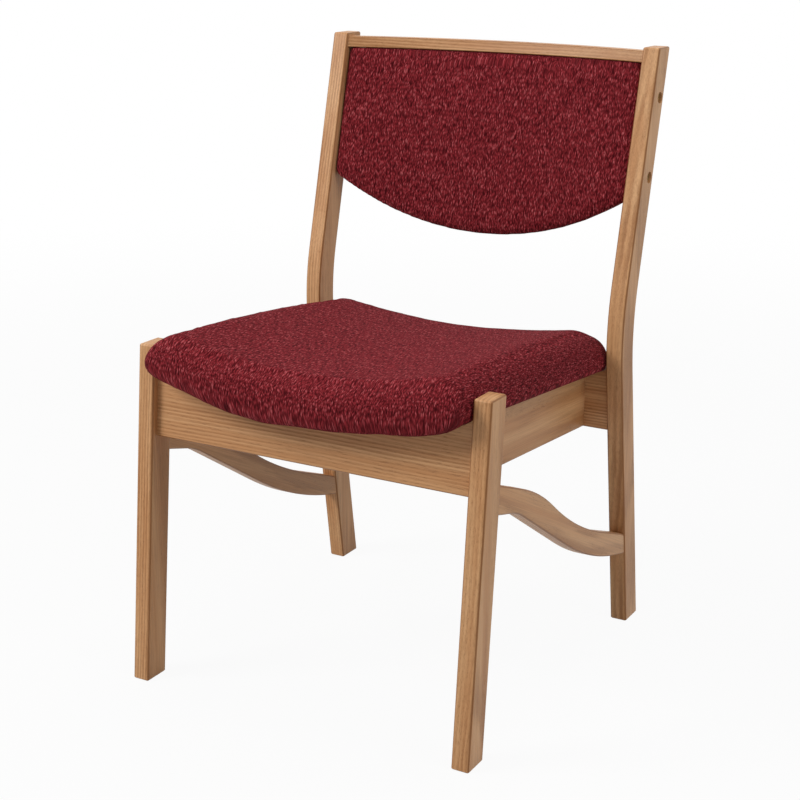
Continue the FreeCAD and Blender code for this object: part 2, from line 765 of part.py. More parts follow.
def make_back_panel():
    half = pad_half - size["cover_thickness"] - size["batten_width"]
    bottom = size["pad_middle_height"] + panel_edge_gap
    top = pad_top - size["cover_thickness"]
    body, feature = bowed_board("back_panel", half, size["panel_recess"],
                                size["panel_thickness"], bottom, top)
    radius = size["pad_edge_radius"] - panel_edge_gap
    reach = half + 5
    corner = radius - (radius * radius - reach * reach).root()
    points = [(-reach, -5), (reach, -5), (reach, corner), (-reach, corner)]
    sketch = sketch_on(body, "XZ_Plane", "back_panel_edge")
    outline(sketch, points, hollows={2: radius})
    before = body.Shape.Volume
    edge = body.newObject("PartDesign::Pocket", "back_panel_trim")
    edge.Profile = sketch
    edge.Type = "ThroughAll"
    edge.Midplane = True
    doc.recompute()
    if body.Shape.Volume >= before:
        raise RuntimeError("the trim of the back panel cut nothing")
    return body


def make_back_batten(side, sign):
    """An upright batten that takes the bolts at one end of the back panel."""
    node = f"back_batten_{side}"
    body = body_named(f"{node}_body")
    outer = pad_half - size["cover_thickness"]
    inner = outer - size["batten_width"]
    bottom = pad_bottom(outer) + size["pad_rounding"]
    top = pad_top - size["cover_thickness"]
    front = post_front_above(bottom) + size["batten_recess"]
    rise = top - bottom
    shift = post_upper_lean * rise
    points = [
        (0, 0),
        (size["batten_thickness"], 0),
        (size["batten_thickness"] + shift, rise),
        (shift, rise),
    ]
    sketch = outline(sketch_on(body, "YZ_Plane", f"{node}_outline"), points)
    pad(body, sketch, size["batten_width"])
    place(body, inner if sign > 0 else -outer, front, bottom)
    return body


# Soft forms. Their shapes are lofts through lines and arcs, and read the sheet in code.
number = {alias: value.number for alias, value in size.items()}
# The seat's underside lies this far under the cut that shapes it, so that no thin skin is left
seat_cut_drop = 0.5
# Longer than any piece that a cutting form has to pass through
beyond = 120


def add_feature(node, shape):
    feature = doc.addObject("Part::Feature", f"{node}_form")
    feature.Shape = shape
    feature.Placement = FreeCAD.Placement(Vector(0, -origin_setback.number, 0), Rotation())
    return feature


def line(a, b):
    return Part.LineSegment(a, b).toShape()


def arc(a, middle, b):
    return Part.Arc(a, middle, b).toShape()


def dish_level(across, setback):
    """Underside of the seat board, on the straight lines between its front and rear arcs."""
    radius = dish_radius(setback).number
    return board_height(setback).number + radius - math.sqrt(radius ** 2 - across ** 2)


def under_seat(lift):
    """Everything under the seat board's underside, moved up by lift."""
    sections = []
    for end in ("front", "rear"):
        setback = number[f"form_{end}_setback"]
        half = number["form_half_width"]
        middle = number[f"form_{end}_height"] + lift
        high = middle + number[f"form_{end}_dish"]
        low = middle - beyond
        left, right = Vector(-half, setback, high), Vector(half, setback, high)
        floor_right, floor_left = Vector(half, setback, low), Vector(-half, setback, low)
        sections.append(Part.Wire([
            arc(left, Vector(0, setback, middle), right),
            line(right, floor_right),
            line(floor_right, floor_left),
            line(floor_left, left),
        ]))
    return Part.makeLoft(sections, True, True)


def quarter(share):
    """Drop of a quarter circle of radius 1 at a share of the way out."""
    return 1 - math.sqrt(max(0.0, 1 - min(1.0, share) ** 2))


# Levels of the seat's foremost and rearmost lines, as shares of its thickness there
NOSE_SHARE = 0.42
TAIL_SHARE = 0.45


def seat_section(across, inset):
    """Upright section of the seat, front to back, at a distance across from the middle."""
    wide = number["seat_half_width"] - inset
    reach = abs(across)

    def near_side(width):
        """Drop of a quarter circle that starts at a distance in from the side."""
        return quarter((reach - wide + width) / width) if reach > wide - width else 0

    sweep = number["seat_front_sweep"] * (reach / number["seat_half_width"]) ** 2
    corner = number["seat_corner_radius"]
    rear_corner = number["seat_rear_corner_radius"]
    front = number["seat_front_setback"] + inset + sweep + corner * near_side(corner)
    rear = number["seat_rear_setback"] - inset - rear_corner * near_side(rear_corner)
    slope_width = number["seat_slope_width"] - inset
    shoulder = number["seat_shoulder"] * near_side(slope_width)
    under = number["seat_tuck"] * near_side(number["seat_tuck_width"])
    length = rear - front

    def low(setback):
        return dish_level(reach, setback) - number["cover_thickness"] + inset - seat_cut_drop + under

    def high(setback):
        share = (setback - front) / length
        crown = number["seat_crown"] * 4 * share * (1 - share)
        return dish_level(reach, setback) + number["seat_plump"] - inset - shoulder + crown

    # The roundings grow smaller where the seat thins out at its sides
    thin = 1 - 0.5 * near_side(slope_width)
    chin = number["seat_chin"]
    chin += (number["seat_chin_side"] - chin) * (reach / number["seat_half_width"]) ** 2
    nose, heel, tail = (number[name] * thin for name in ("seat_nose", "seat_heel", "seat_tail"))
    nose_level = low(front) + NOSE_SHARE * (high(front + nose) - low(front))
    tail_level = low(rear) + TAIL_SHARE * (high(rear - tail) - low(rear))
    bulge = 1 - math.sqrt(0.5)
    chin_point = Vector(across, front + chin, low(front + chin))
    nose_point = Vector(across, front, nose_level)
    brow_point = Vector(across, front + nose, high(front + nose))
    crown_point = Vector(across, (front + rear) / 2, high((front + rear) / 2))
    nape_point = Vector(across, rear - tail, high(rear - tail))
    tail_point = Vector(across, rear, tail_level)
    heel_point = Vector(across, rear - heel, low(rear - heel))

    def rounded(tip, setback, level):
        """Middle of the arc between the tip and a point that the outline turns to."""
        return Vector(across, tip.y + bulge * (setback - tip.y), level + bulge * (tip.z - level))

    return Part.Wire([
        arc(chin_point, rounded(nose_point, chin_point.y, chin_point.z), nose_point),
        arc(nose_point, rounded(nose_point, brow_point.y, brow_point.z), brow_point),
        arc(brow_point, crown_point, nape_point),
        arc(nape_point, rounded(tail_point, nape_point.y, nape_point.z), tail_point),
        arc(tail_point, rounded(tail_point, heel_point.y, heel_point.z), heel_point),
        line(heel_point, chin_point),
    ])


def stations(wide, steps):
    """Places across a soft form: mirrored, and closer together at its rounded sides."""
    right = [0] + [place for place in steps if 0 < place < wide - 0.5] + [wide]
    return [-place for place in reversed(right[1:])] + right


def seat_form(inset):
    wide = number["seat_half_width"] - inset
    ridge = number["seat_half_width"] - number["seat_slope_width"]
    steps = [ridge * share for share in (0.25, 0.5, 0.76, 1)]
    steps += [ridge + (wide - ridge) * share for share in (0.3, 0.55, 0.75, 0.9, 0.97)]
    return Part.makeLoft([seat_section(x, inset) for x in stations(wide, steps)], True, True)


def seat_block(half, front, rear):
    """Upright block round the seat board's levels, from front to rear."""
    reach = number["form_front_dish"] + number["seat_plump"]
    floor = number["form_rear_height"] - reach
    height = number["form_front_height"] + reach - floor
    return Part.makeBox(2 * half, rear - front, height, Vector(-half, front, floor))


def make_seat_board():
    """Bent plywood between two levels of the seat's dish, cut to its outline."""
    half = number["board_half_width"]
    front = number["board_front_setback"]
    rear = number["board_rear_setback"]
    blank = seat_block(half, front, rear)
    upright = [edge for edge in blank.Edges if abs(edge.tangentAt(edge.FirstParameter).z) > 0.99]
    blank = blank.makeFillet(number["board_corner_radius"], upright)
    slab = under_seat(number["board_thickness"]).cut(under_seat(0))
    # The upholstery draws in under its sides, so the board's lower edges are bevelled to suit
    return blank.common(slab).common(seat_form(number["cover_thickness"]))


def hem_opening():
    """Upright prism inside the folded edge of the seat cover."""
    hem = number["hem_width"]
    half = number["seat_half_width"] - hem
    front = number["seat_front_setback"] + number["seat_front_sweep"] + hem
    rear = number["seat_rear_setback"] - hem
    return seat_block(half, front, rear)


def largest(shape):
    return max(shape.Solids, key=lambda solid: solid.Volume)


def make_seat_soft_pieces(board):
    """The seat's foam, its cover and the cloth under it."""
    skin = number["cover_thickness"]
    core = seat_form(skin).cut(under_seat(0))
    outer = seat_form(0).cut(under_seat(-skin))
    foam = largest(core.cut(board))
    opening = hem_opening()
    cover = largest(outer.cut(core).cut(opening.common(under_seat(0))))
    cloth = opening.common(under_seat(0).cut(under_seat(-number["dust_cover_thickness"])))
    gap = number["seat_clearance"]
    box = opening.BoundBox
    trim = seat_block(box.XMax - gap, box.YMin + gap, box.YMax - gap)
    return foam, cover, largest(cloth.common(trim))


# Share of its crown that the back pad keeps at its sides
PAD_SIDE_SWELL = 0.1


def pad_section(across, inset):
    """Upright section of the back pad, at a distance across from the middle."""
    wide = pad_half.number - inset
    reach = min(abs(across), wide)
    turn = number["pad_rounding"]
    ease = turn * quarter((reach - wide + turn) / turn) if reach > wide - turn else 0
    radius = number["pad_edge_radius"]
    low = number["pad_middle_height"] + radius - math.sqrt(radius ** 2 - reach ** 2) + inset
    high = pad_top.number - inset
    swell = number["pad_crown"] * (1 + PAD_SIDE_SWELL - (reach / wide) ** 2)

    def face(level, recess):
        return post_front_above(level).number + recess + bow_at(reach).number

    front = number["pad_recess"] + inset + ease
    back = number["pad_recess"] + number["pad_depth"] - inset
    tuck = number["pad_chin"]
    hem = number["pad_heel"]
    brow_level = high - number["pad_brow"]
    top_front = Vector(across, face(high, front) + number["pad_lip"], high)
    brow = Vector(across, face(brow_level, front), brow_level)
    belly_level = (low + high) / 2
    belly = Vector(across, face(belly_level, front) - swell, belly_level)
    turn_point = Vector(across, face(low + tuck, front), low + tuck)
    bottom_front = Vector(across, face(low, front) + tuck, low)
    bottom_back = Vector(across, face(low, back) - hem, low)
    heel = Vector(across, face(low + hem, back), low + hem)
    top_back = Vector(across, face(high, back), high)
    bulge = 1 - math.sqrt(0.5)
    knuckle = Vector(across, turn_point.y + bulge * (bottom_front.y - turn_point.y),
                     low + bulge * tuck)
    back_knuckle = Vector(across, heel.y + bulge * (bottom_back.y - heel.y), low + bulge * hem)
    return Part.Wire([
        line(top_front, brow),
        arc(brow, belly, turn_point),
        arc(turn_point, knuckle, bottom_front),
        line(bottom_front, bottom_back),
        arc(bottom_back, back_knuckle, heel),
        line(heel, top_back),
        line(top_back, top_front),
    ])


def pad_form(inset):
    wide = pad_half.number - inset
    turn = number["pad_rounding"]
    steps = [(wide - turn) * share for share in (0.15, 0.3, 0.45, 0.6, 0.75, 0.9, 1)]
    steps += [wide - turn * (1 - share) for share in (0.45, 0.75, 0.92)]
    return Part.makeLoft([pad_section(x, inset) for x in stations(wide, steps)], True, True)


def behind_panel():
    """Everything behind the back face of the back panel."""
    recess = number["panel_recess"] + number["panel_thickness"]
    low, high = number["pad_middle_height"] - 20, number["chair_height"]
    half = inner_face.number
    plan = post_front_above(low).number + recess
    middle = plan + number["back_bow"]
    left, right = Vector(-half, plan, low), Vector(half, plan, low)
    far_right, far_left = Vector(half, plan + beyond, low), Vector(-half, plan + beyond, low)
    face = Part.Face(Part.Wire([
        arc(left, Vector(0, middle, low), right),
        line(right, far_right),
        line(far_right, far_left),
        line(far_left, left),
    ]))
    return face.extrude(Vector(0, post_upper_lean.number * (high - low), high - low))


def make_back_soft_pieces(wood):
    """The back's front foam, the wadding behind its panel and the cover round them."""
    skin = number["cover_thickness"]
    core = pad_form(skin)
    outer = pad_form(0)
    rear_side = behind_panel()
    padding = core
    for piece in wood:
        padding = padding.cut(piece)
    foam = largest(padding.cut(rear_side))
    wadding = largest(padding.common(rear_side))
    cover = largest(outer.cut(core))
    return foam, wadding, cover


# Corner blocks, glued and screwed into the corners of the seat frame
def block_floor(end):
    return size[f"rail_bottom_{end}"] + size["block_rise"]


def make_corner_block(side, sign, end, rail):
    """A triangular block whose rail side is cut to the cross rail's face."""
    node = f"corner_block_{end}_{side}"
    body = body_named(f"{node}_body")
    leg = size["block_leg"]
    nose = size["block_nose"]
    floor = block_floor(end)
    away = 1 if end == "front" else -1
    corner = front_rail_back(floor) if end == "front" else size["rear_rail_setback"]
    # The front blocks start a little inside the leaning rail, and are then cut to its face
    start = corner - 4 if end == "front" else corner
    points = [
        (0, 0),
        (-sign * leg, 0),
        (-sign * leg, away * nose),
        (-sign * nose, away * leg),
        (0, away * leg),
    ]
    sketch = outline(sketch_on(body, "XY_Plane", f"{node}_outline"), points)
    pad(body, sketch, size["block_height"])
    place(body, sign * side_rail_inner, start, floor)
    if end == "rear":
        return body
    fitted = doc.addObject("Part::Cut", f"{node}_fitted")
    fitted.Base = body
    fitted.Tool = rail
    return fitted


def headed_screw(label, axis, way, radius, length, head_radius, head_height, x, y, z):
    """A screw whose head's underside is at x, y, z and whose shank points along way * axis."""
    middle = {"X": x, "Y": y, "Z": z}
    shank_at = dict(middle)
    head_at = dict(middle)
    shank_at[axis] = as_size(middle[axis]) + way * (as_size(length) / 2)
    head_at[axis] = as_size(middle[axis]) - way * (as_size(head_height) / 2)
    shank = cylinder(f"{label}_shank", radius, length, axis,
                     shank_at["X"], shank_at["Y"], shank_at["Z"])
    head = cylinder(f"{label}_head", head_radius, head_height, axis,
                    head_at["X"], head_at["Y"], head_at["Z"])
    joined = doc.addObject("Part::Fuse", label)
    joined.Base = head
    joined.Tool = shank
    return joined


def hole_in(member, label, radius, length, axis, x, y, z):
    """A hole centred at x, y, z that is cut from a member later."""
    tool = cylinder(label, radius, length, axis, x, y, z)
    holes.setdefault(member, []).append(tool)
    return tool


def block_screws(side, sign, end):
    """Two screws through a corner block, one into each rail."""
    node = f"corner_block_{end}_{side}"
    away = 1 if end == "front" else -1
    height = block_floor(end) + size["block_height"] / 2
    corner = front_rail_back(height) if end == "front" else size["rear_rail_setback"]
    radius = size["block_screw_radius"]
    length = size["block_screw_length"]
    grip = size["block_screw_grip"]
    head = size["block_screw_head_radius"]
    tall = size["block_screw_head_height"]
    mouth = size["block_leg"]
    made = []
    # Into the side rail, along X
    seat = sign * (side_rail_inner - grip)
    setback = corner + away * size["block_screw_place"]
    label = f"{node}_screw_side"
    made.append(headed_screw(label, "X", sign, radius, length, head, tall, seat, setback, height))
    middle = seat + sign * length / 2
    for member in (node, f"side_rail_{side}"):
        hole_in(member, f"{label}_{member}", radius, length, "X", middle, setback, height)
    hole_in(node, f"{label}_mouth", head + size["hole_clearance"], mouth, "X",
            seat - sign * mouth / 2, setback, height)
    # Into the cross rail, along Y
    seat_back = corner + away * grip
    across = sign * (side_rail_inner - size["block_screw_place"])
    label = f"{node}_screw_cross"
    made.append(headed_screw(label, "Y", -away, radius, length, head, tall, across, seat_back, height))
    middle = seat_back - away * length / 2
    for member in (node, f"{end}_rail"):
        hole_in(member, f"{label}_{member}", radius, length, "Y", across, middle, height)
    hole_in(node, f"{label}_mouth", head + size["hole_clearance"], mouth, "Y", across,
            seat_back + away * mouth / 2, height)
    return made


def seat_fixing(side, sign, end):
    """A screw up through a corner block into an insert in the seat board."""
    node = f"corner_block_{end}_{side}"
    away = 1 if end == "front" else -1
    floor = block_floor(end)
    corner = front_rail_back(floor) if end == "front" else size["rear_rail_setback"]
    across = side_rail_inner - size["seat_screw_place"]
    setback = corner + away * size["seat_screw_place"]
    level = board_level(across, setback)
    bite = size["seat_screw_bite"]
    length = level + bite - floor
    x = sign * across
    label = f"seat_screw_{end}_{side}"
    screw = headed_screw(label, "Z", 1, size["seat_screw_radius"], length,
                         size["seat_screw_head_radius"], size["seat_screw_head_height"],
                         x, setback, floor)
    loose = size["seat_screw_radius"] + size["hole_clearance"]
    hole_in(node, f"{label}_way", loose, size["block_height"] * 3, "Z", x, setback, floor)
    wide = size["insert_radius"] + size["hole_clearance"]
    hole_in("seat_board", f"{label}_socket", size["insert_radius"], 2 * bite, "Z", x, setback, level)
    for member in ("seat_cover", "seat_dust_cover"):
        hole_in(member, f"{label}_{member}", wide, bite, "Z", x, setback, level - bite / 2)
    ring = cylinder(f"{label}_ring", size["insert_radius"], bite, "Z", x, setback, level + bite / 2)
    bore = cylinder(f"{label}_bore", size["seat_screw_radius"], 2 * bite, "Z", x, setback,
                    level + bite / 2)
    insert = doc.addObject("Part::Cut", f"{label}_insert")
    insert.Base = ring
    insert.Tool = bore
    return screw, insert


# Cross recess of a bolt's head: its depth as a share of the head's height, and its length and
# width as shares of the head's radius
RECESS_DEPTH = 0.6
RECESS_LENGTH = 1.15
RECESS_WIDTH = 0.2


def back_bolt(side, sign, place_name):
    """A bolt through a rear post into an insert in a batten of the back."""
    height = size[f"bolt_{place_name}_height"]
    setback = post_front_above(height) + size["batten_recess"] + size["batten_thickness"] / 2
    floor = half_width - size["counterbore_depth"]
    x = sign * floor
    label = f"back_bolt_{place_name}_{side}"
    outer = pad_half - size["cover_thickness"]
    length = size["insert_length"]
    reach = floor - outer + length - size["dowel_end_room"]
    bolt = headed_screw(label, "X", -sign, size["bolt_radius"], reach,
                        size["bolt_head_radius"], size["bolt_head_height"], x, setback, height)
    # Cross recess of the head
    tip = sign * (floor + size["bolt_head_height"])
    deep = size["bolt_head_height"] * RECESS_DEPTH
    cuts = []
    for turned in (False, True):
        slot = doc.addObject("Part::Box", f"{label}_slot{int(turned)}")
        wide = size["bolt_head_radius"] * RECESS_LENGTH
        thin = size["bolt_head_radius"] * RECESS_WIDTH
        bind(slot, "Length", 2 * deep)
        bind(slot, "Width", thin if turned else wide)
        bind(slot, "Height", wide if turned else thin)
        place(slot, tip - deep, setback - (thin if turned else wide) / 2,
              height - (wide if turned else thin) / 2)
        cuts.append(slot)
    recess = doc.addObject("Part::Compound", f"{label}_recess")
    recess.Links = cuts
    marked = doc.addObject("Part::Cut", f"{label}_marked")
    marked.Base = bolt
    marked.Tool = recess
    post = f"rear_post_{side}"
    way = size["bolt_radius"] + size["hole_clearance"]
    hole_in(post, f"{label}_way", way, 4 * size["frame_thickness"], "X", x, setback, height)
    hole_in(post, f"{label}_counterbore", size["counterbore_radius"],
            2 * size["counterbore_depth"], "X", sign * half_width, setback, height)
    middle = sign * (outer - length / 2)
    hole_in(f"back_batten_{side}", f"{label}_socket", size["insert_radius"], length, "X",
            middle, setback, height)
    for member in ("back_cover", "back_foam", "back_wadding"):
        hole_in(member, f"{label}_{member}", size["insert_radius"], length, "X",
                sign * (outer + size["cover_thickness"]), setback, height)
    ring = cylinder(f"{label}_ring", size["insert_radius"], length, "X", middle, setback, height)
    bore = cylinder(f"{label}_bore", size["bolt_radius"], 2 * length, "X", middle, setback, height)
    insert = doc.addObject("Part::Cut", f"{label}_insert")
    insert.Base = ring
    insert.Tool = bore
    return marked, insert


def group(node, members):
    bundle = doc.addObject("Part::Compound", f"{node}_group")
    bundle.Links = members
    return keep(bundle, node)


blanks = {}
for side, sign in sides:
    blanks[f"front_leg_{side}"] = make_front_leg(side, sign)
    blanks[f"rear_post_{side}"] = make_rear_post(side, sign)
    blanks[f"side_stretcher_{side}"] = make_stretcher(side, sign)
    blanks[f"side_rail_{side}"] = make_side_rail(side, sign)
blanks["front_rail"] = make_front_rail()
blanks["rear_rail"] = make_rear_rail()
blanks["top_rail"] = make_top_rail()
blanks["back_panel"] = make_back_panel()
for side, sign in sides:
    blanks[f"back_batten_{side}"] = make_back_batten(side, sign)
doc.recompute()

for side, sign in sides:
    for end in ("front", "rear"):
        rail = blanks[f"{end}_rail"]
        blanks[f"corner_block_{end}_{side}"] = make_corner_block(side, sign, end, rail)

board_shape = make_seat_board()
foam, cover, cloth = make_seat_soft_pieces(board_shape)
blanks["seat_board"] = add_feature("seat_board", board_shape)
blanks["seat_foam"] = add_feature("seat_foam", foam)
blanks["seat_cover"] = add_feature("seat_cover", cover)
blanks["seat_dust_cover"] = add_feature("seat_dust_cover", cloth)
# The cross rails are coped to the seat where it rounds up at its sides
for end in ("front", "rear"):
    cope = add_feature(f"{end}_rail_cope", seat_form(-number["seat_clearance"]))
    holes.setdefault(f"{end}_rail", []).append(cope)

to_setback = FreeCAD.Placement(Vector(0, origin_setback.number, 0), Rotation())
back_wood = []
for name in ("back_panel", "back_batten_left", "back_batten_right"):
    wood = blanks[name].Shape.copy()
    wood.Placement = to_setback.multiply(wood.Placement)
    back_wood.append(wood)
foam, wadding, cover = make_back_soft_pieces(back_wood)
blanks["back_foam"] = add_feature("back_foam", foam)
blanks["back_wadding"] = add_feature("back_wadding", wadding)
blanks["back_cover"] = add_feature("back_cover", cover)

rail_dowels()
stretcher_dowels()
top_rail_dowels()
block_screw_set = []
seat_screws = []
seat_inserts = []
bolts = []
bolt_inserts = []
for side, sign in sides:
    for end in ("front", "rear"):
        block_screw_set += block_screws(side, sign, end)
        screw, insert = seat_fixing(side, sign, end)
        seat_screws.append(screw)
        seat_inserts.append(insert)
    for place_name in ("upper", "lower"):
        bolt, insert = back_bolt(side, sign, place_name)
        bolts.append(bolt)
        bolt_inserts.append(insert)

for node, blank in blanks.items():
    bored(blank, node)
for node, members in pegs.items():
    group(node, members)
group("corner_block_screws", block_screw_set)
group("seat_screws", seat_screws)
group("seat_inserts", seat_inserts)
group("back_bolts", bolts)
group("back_inserts", bolt_inserts)
doc.recompute()

failed = [thing.Name for thing in doc.Objects
          if "Invalid" in thing.State or "Error" in thing.State]
if failed:
    raise RuntimeError(f"these objects failed: {failed}")
for thing in finished:
    if thing.Shape.isNull() or not thing.Shape.isValid():
        raise RuntimeError(f"{thing.Label} has no valid shape")

os.makedirs("parts", exist_ok=True)
for thing in finished:
    thing.Shape.exportStep(f"parts/{thing.Label}.step")
    box = thing.Shape.BoundBox
    print(f"{thing.Label}: {len(thing.Shape.Solids)} solids, {thing.Shape.Volume / 1000:.1f} cm3, "
          f"x {box.XMin:.1f} to {box.XMax:.1f}, y {box.YMin:.1f} to {box.YMax:.1f}, "
          f"z {box.ZMin:.1f} to {box.ZMax:.1f}")
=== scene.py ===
import math

import bpy
import numpy as np
from mathutils import Matrix, Vector


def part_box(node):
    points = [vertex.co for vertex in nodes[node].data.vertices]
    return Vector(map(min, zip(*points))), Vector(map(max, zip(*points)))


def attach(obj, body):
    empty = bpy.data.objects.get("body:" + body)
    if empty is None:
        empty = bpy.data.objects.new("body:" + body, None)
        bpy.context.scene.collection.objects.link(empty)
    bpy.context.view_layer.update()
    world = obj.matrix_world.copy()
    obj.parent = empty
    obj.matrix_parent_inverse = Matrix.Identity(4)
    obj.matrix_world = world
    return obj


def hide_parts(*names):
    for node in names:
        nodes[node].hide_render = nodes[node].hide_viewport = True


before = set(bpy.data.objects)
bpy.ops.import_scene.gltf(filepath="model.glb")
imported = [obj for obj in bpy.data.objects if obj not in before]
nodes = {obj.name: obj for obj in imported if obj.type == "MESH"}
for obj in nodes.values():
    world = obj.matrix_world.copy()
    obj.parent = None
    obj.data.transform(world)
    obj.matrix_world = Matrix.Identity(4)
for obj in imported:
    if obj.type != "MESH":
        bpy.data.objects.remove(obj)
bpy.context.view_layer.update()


# Small helpers

def srgb(red, green, blue):
    # a colour as a picture editor shows it, turned to Blender's linear values
    def linear(level):
        share = level / 255
        return share / 12.92 if share <= 0.04045 else ((share + 0.055) / 1.055) ** 2.4
    return (linear(red), linear(green), linear(blue), 1.0)


def deselectAll():
    bpy.ops.object.select_all(action="DESELECT")


def activate(piece):
    deselectAll()
    piece.select_set(True)
    bpy.context.view_layer.objects.active = piece


def applyModifier(piece, kind, **settings):
    activate(piece)
    modifier = piece.modifiers.new(kind.title(), kind)
    for name, value in settings.items():
        setattr(modifier, name, value)
    bpy.ops.object.modifier_apply(modifier=modifier.name)


def vertexPlaces(mesh):
    places = np.zeros(len(mesh.vertices) * 3)
    mesh.vertices.foreach_get("co", places)
    return places.reshape(-1, 3)


def vertexNormals(mesh):
    normals = np.zeros(len(mesh.vertices) * 3)
    mesh.vertex_normals.foreach_get("vector", normals)
    return normals.reshape(-1, 3)


def moveVertices(mesh, places):
    mesh.vertices.foreach_set("co", places.ravel())
    mesh.update()


# Shader maths: a wire is a node's output, and sums of wires add Math nodes

class Wire:
    def __init__(self, finish, socket):
        self.finish = finish
        self.socket = socket

    def maths(self, operation, *values):
        return self.finish.node("ShaderNodeMath", {"operation": operation}, dict(enumerate(values)))

    def __add__(self, other):
        return self.maths("ADD", self, other)

    def __sub__(self, other):
        return self.maths("SUBTRACT", self, other)

    def __mul__(self, other):
        return self.maths("MULTIPLY", self, other)

    def __truediv__(self, other):
        return self.maths("DIVIDE", self, other)

    def __radd__(self, other):
        return self.maths("ADD", other, self)

    def __rsub__(self, other):
        return self.maths("SUBTRACT", other, self)

    def __rmul__(self, other):
        return self.maths("MULTIPLY", other, self)


class Finish:
    def __init__(self, name):
        self.material = bpy.data.materials.new(name)
        self.material.use_nodes = True
        self.tree = self.material.node_tree
        self.tree.nodes.clear()

    def node(self, kind, settings=None, sockets=None, output=0):
        made = self.tree.nodes.new(kind)
        for name, value in (settings or {}).items():
            if name == "stops":
                ramp = made.color_ramp.elements
                while len(ramp) < len(value):
                    ramp.new(0.5)
                for stop, (place, colour) in zip(ramp, value):
                    stop.position = place
                    stop.color = colour
            else:
                setattr(made, name, value)
        for name, value in (sockets or {}).items():
            if isinstance(value, Wire):
                self.tree.links.new(value.socket, made.inputs[name])
            else:
                made.inputs[name].default_value = value
        return Wire(self, made.outputs[output])

    def place(self, turn=(0, 0, 0), shift=(0, 0, 0), scale=(1, 1, 1)):
        # object coordinates in metres, turned so that a pattern's length runs along X
        spot = self.node("ShaderNodeTexCoord", output="Object")
        return self.node("ShaderNodeMapping", {}, {"Vector": spot, "Location": shift,
                                                   "Rotation": turn, "Scale": scale})

    def stretch(self, vector, scale):
        return self.node("ShaderNodeMapping", {}, {"Vector": vector, "Scale": scale})

    def noise(self, vector, scale=1.0, detail=2.0, roughness=0.5):
        return self.node("ShaderNodeTexNoise", {}, {"Vector": vector, "Scale": scale,
                                                    "Detail": detail, "Roughness": roughness})

    def between(self, value, low, high, fromLow=0.0, fromHigh=1.0, curve="SMOOTHSTEP"):
        return self.node("ShaderNodeMapRange", {"interpolation_type": curve, "clamp": True},
                         {"Value": value, "From Min": fromLow, "From Max": fromHigh,
                          "To Min": low, "To Max": high})

    def mix(self, factor, first, second, blend="MIX"):
        return self.node("ShaderNodeMix", {"data_type": "RGBA", "blend_type": blend},
                         {0: factor, 6: first, 7: second}, output=2)

    def parts(self, vector):
        return [self.node("ShaderNodeSeparateXYZ", {}, {0: vector}, output=axis) for axis in range(3)]

    def bump(self, height, distance, strength=1.0):
        return self.node("ShaderNodeBump", {}, {"Height": height, "Distance": distance,
                                                "Strength": strength})

    def shade(self, sockets):
        shader = self.node("ShaderNodeBsdfPrincipled", {}, sockets)
        end = self.tree.nodes.new("ShaderNodeOutputMaterial")
        self.tree.links.new(shader.socket, end.inputs["Surface"])
        return self.material


def dress(names, material):
    for name in names:
        piece = nodes[name]
        if not piece.material_slots:
            piece.data.materials.append(material)
        for slot in piece.material_slots:
            slot.material = material


# Camera at the photograph's angle, and the studio

cameraValues = {"place": (1.05115, -1.880157, 1.02085), "azimuth": 29.38, "elevation": 16.97,
                "roll": 0.35, "lens": 72.58, "sensor": 36.0, "shift": (-0.0016, -0.00098),
                "clip": (0.05, 60)}


def makeCamera(values):
    bpy.ops.object.camera_add(location=values["place"])
    camera = bpy.context.object
    camera.name = "photoCamera"
    turn = (Matrix.Rotation(math.radians(values["azimuth"]), 4, "Z")
            @ Matrix.Rotation(math.radians(90 - values["elevation"]), 4, "X")
            @ Matrix.Rotation(math.radians(values["roll"]), 4, "Z"))
    camera.rotation_euler = turn.to_euler()
    camera.data.lens = values["lens"]
    camera.data.sensor_width = values["sensor"]
    camera.data.shift_x, camera.data.shift_y = values["shift"]
    camera.data.clip_start, camera.data.clip_end = values["clip"]
    bpy.context.scene.camera = camera


lampValues = {
    "keyLamp": {"place": (-2.3, -2.2, 2.6), "aim": (0, 0, 0.45), "size": 1.4, "power": 98},
    "fillLamp": {"place": (3.0, -0.4, 2.4), "aim": (0, 0, 0.4), "size": 1.6, "power": 27},
    "topLamp": {"place": (0.2, 0.5, 3.3), "aim": (0, 0, 0.4), "size": 1.6, "power": 24},
}
studioValues = {"floorSize": 60.0, "floorColour": (0.6, 0.6, 0.6, 1.0), "shadowShare": 0.06,
                "shadowReach": (1.2, 3.5), "worldStrength": 0.31}


def makeLamps(lamps):
    for name, values in lamps.items():
        bpy.ops.object.light_add(type="AREA", location=values["place"])
        lamp = bpy.context.object
        lamp.name = name
        lamp.data.size = values["size"]
        lamp.data.energy = values["power"]
        away = Vector(values["place"]) - Vector(values["aim"])
        lamp.rotation_euler = away.to_track_quat("Z", "Y").to_euler()


def directView(finish):
    # 1 where the camera, a reflection or a clear material looks straight at the backdrop
    seen = [finish.node("ShaderNodeLightPath", output=name)
            for name in ("Is Camera Ray", "Is Glossy Ray", "Is Transmission Ray")]
    return finish.node("ShaderNodeMath", {"operation": "MAXIMUM"}, {
        0: finish.node("ShaderNodeMath", {"operation": "MAXIMUM"}, {0: seen[0], 1: seen[1]}),
        1: seen[2]})


class WorldFinish(Finish):
    def __init__(self):
        world = bpy.context.scene.world or bpy.data.worlds.new("studioWorld")
        bpy.context.scene.world = world
        world.use_nodes = True
        self.tree = world.node_tree
        self.tree.nodes.clear()


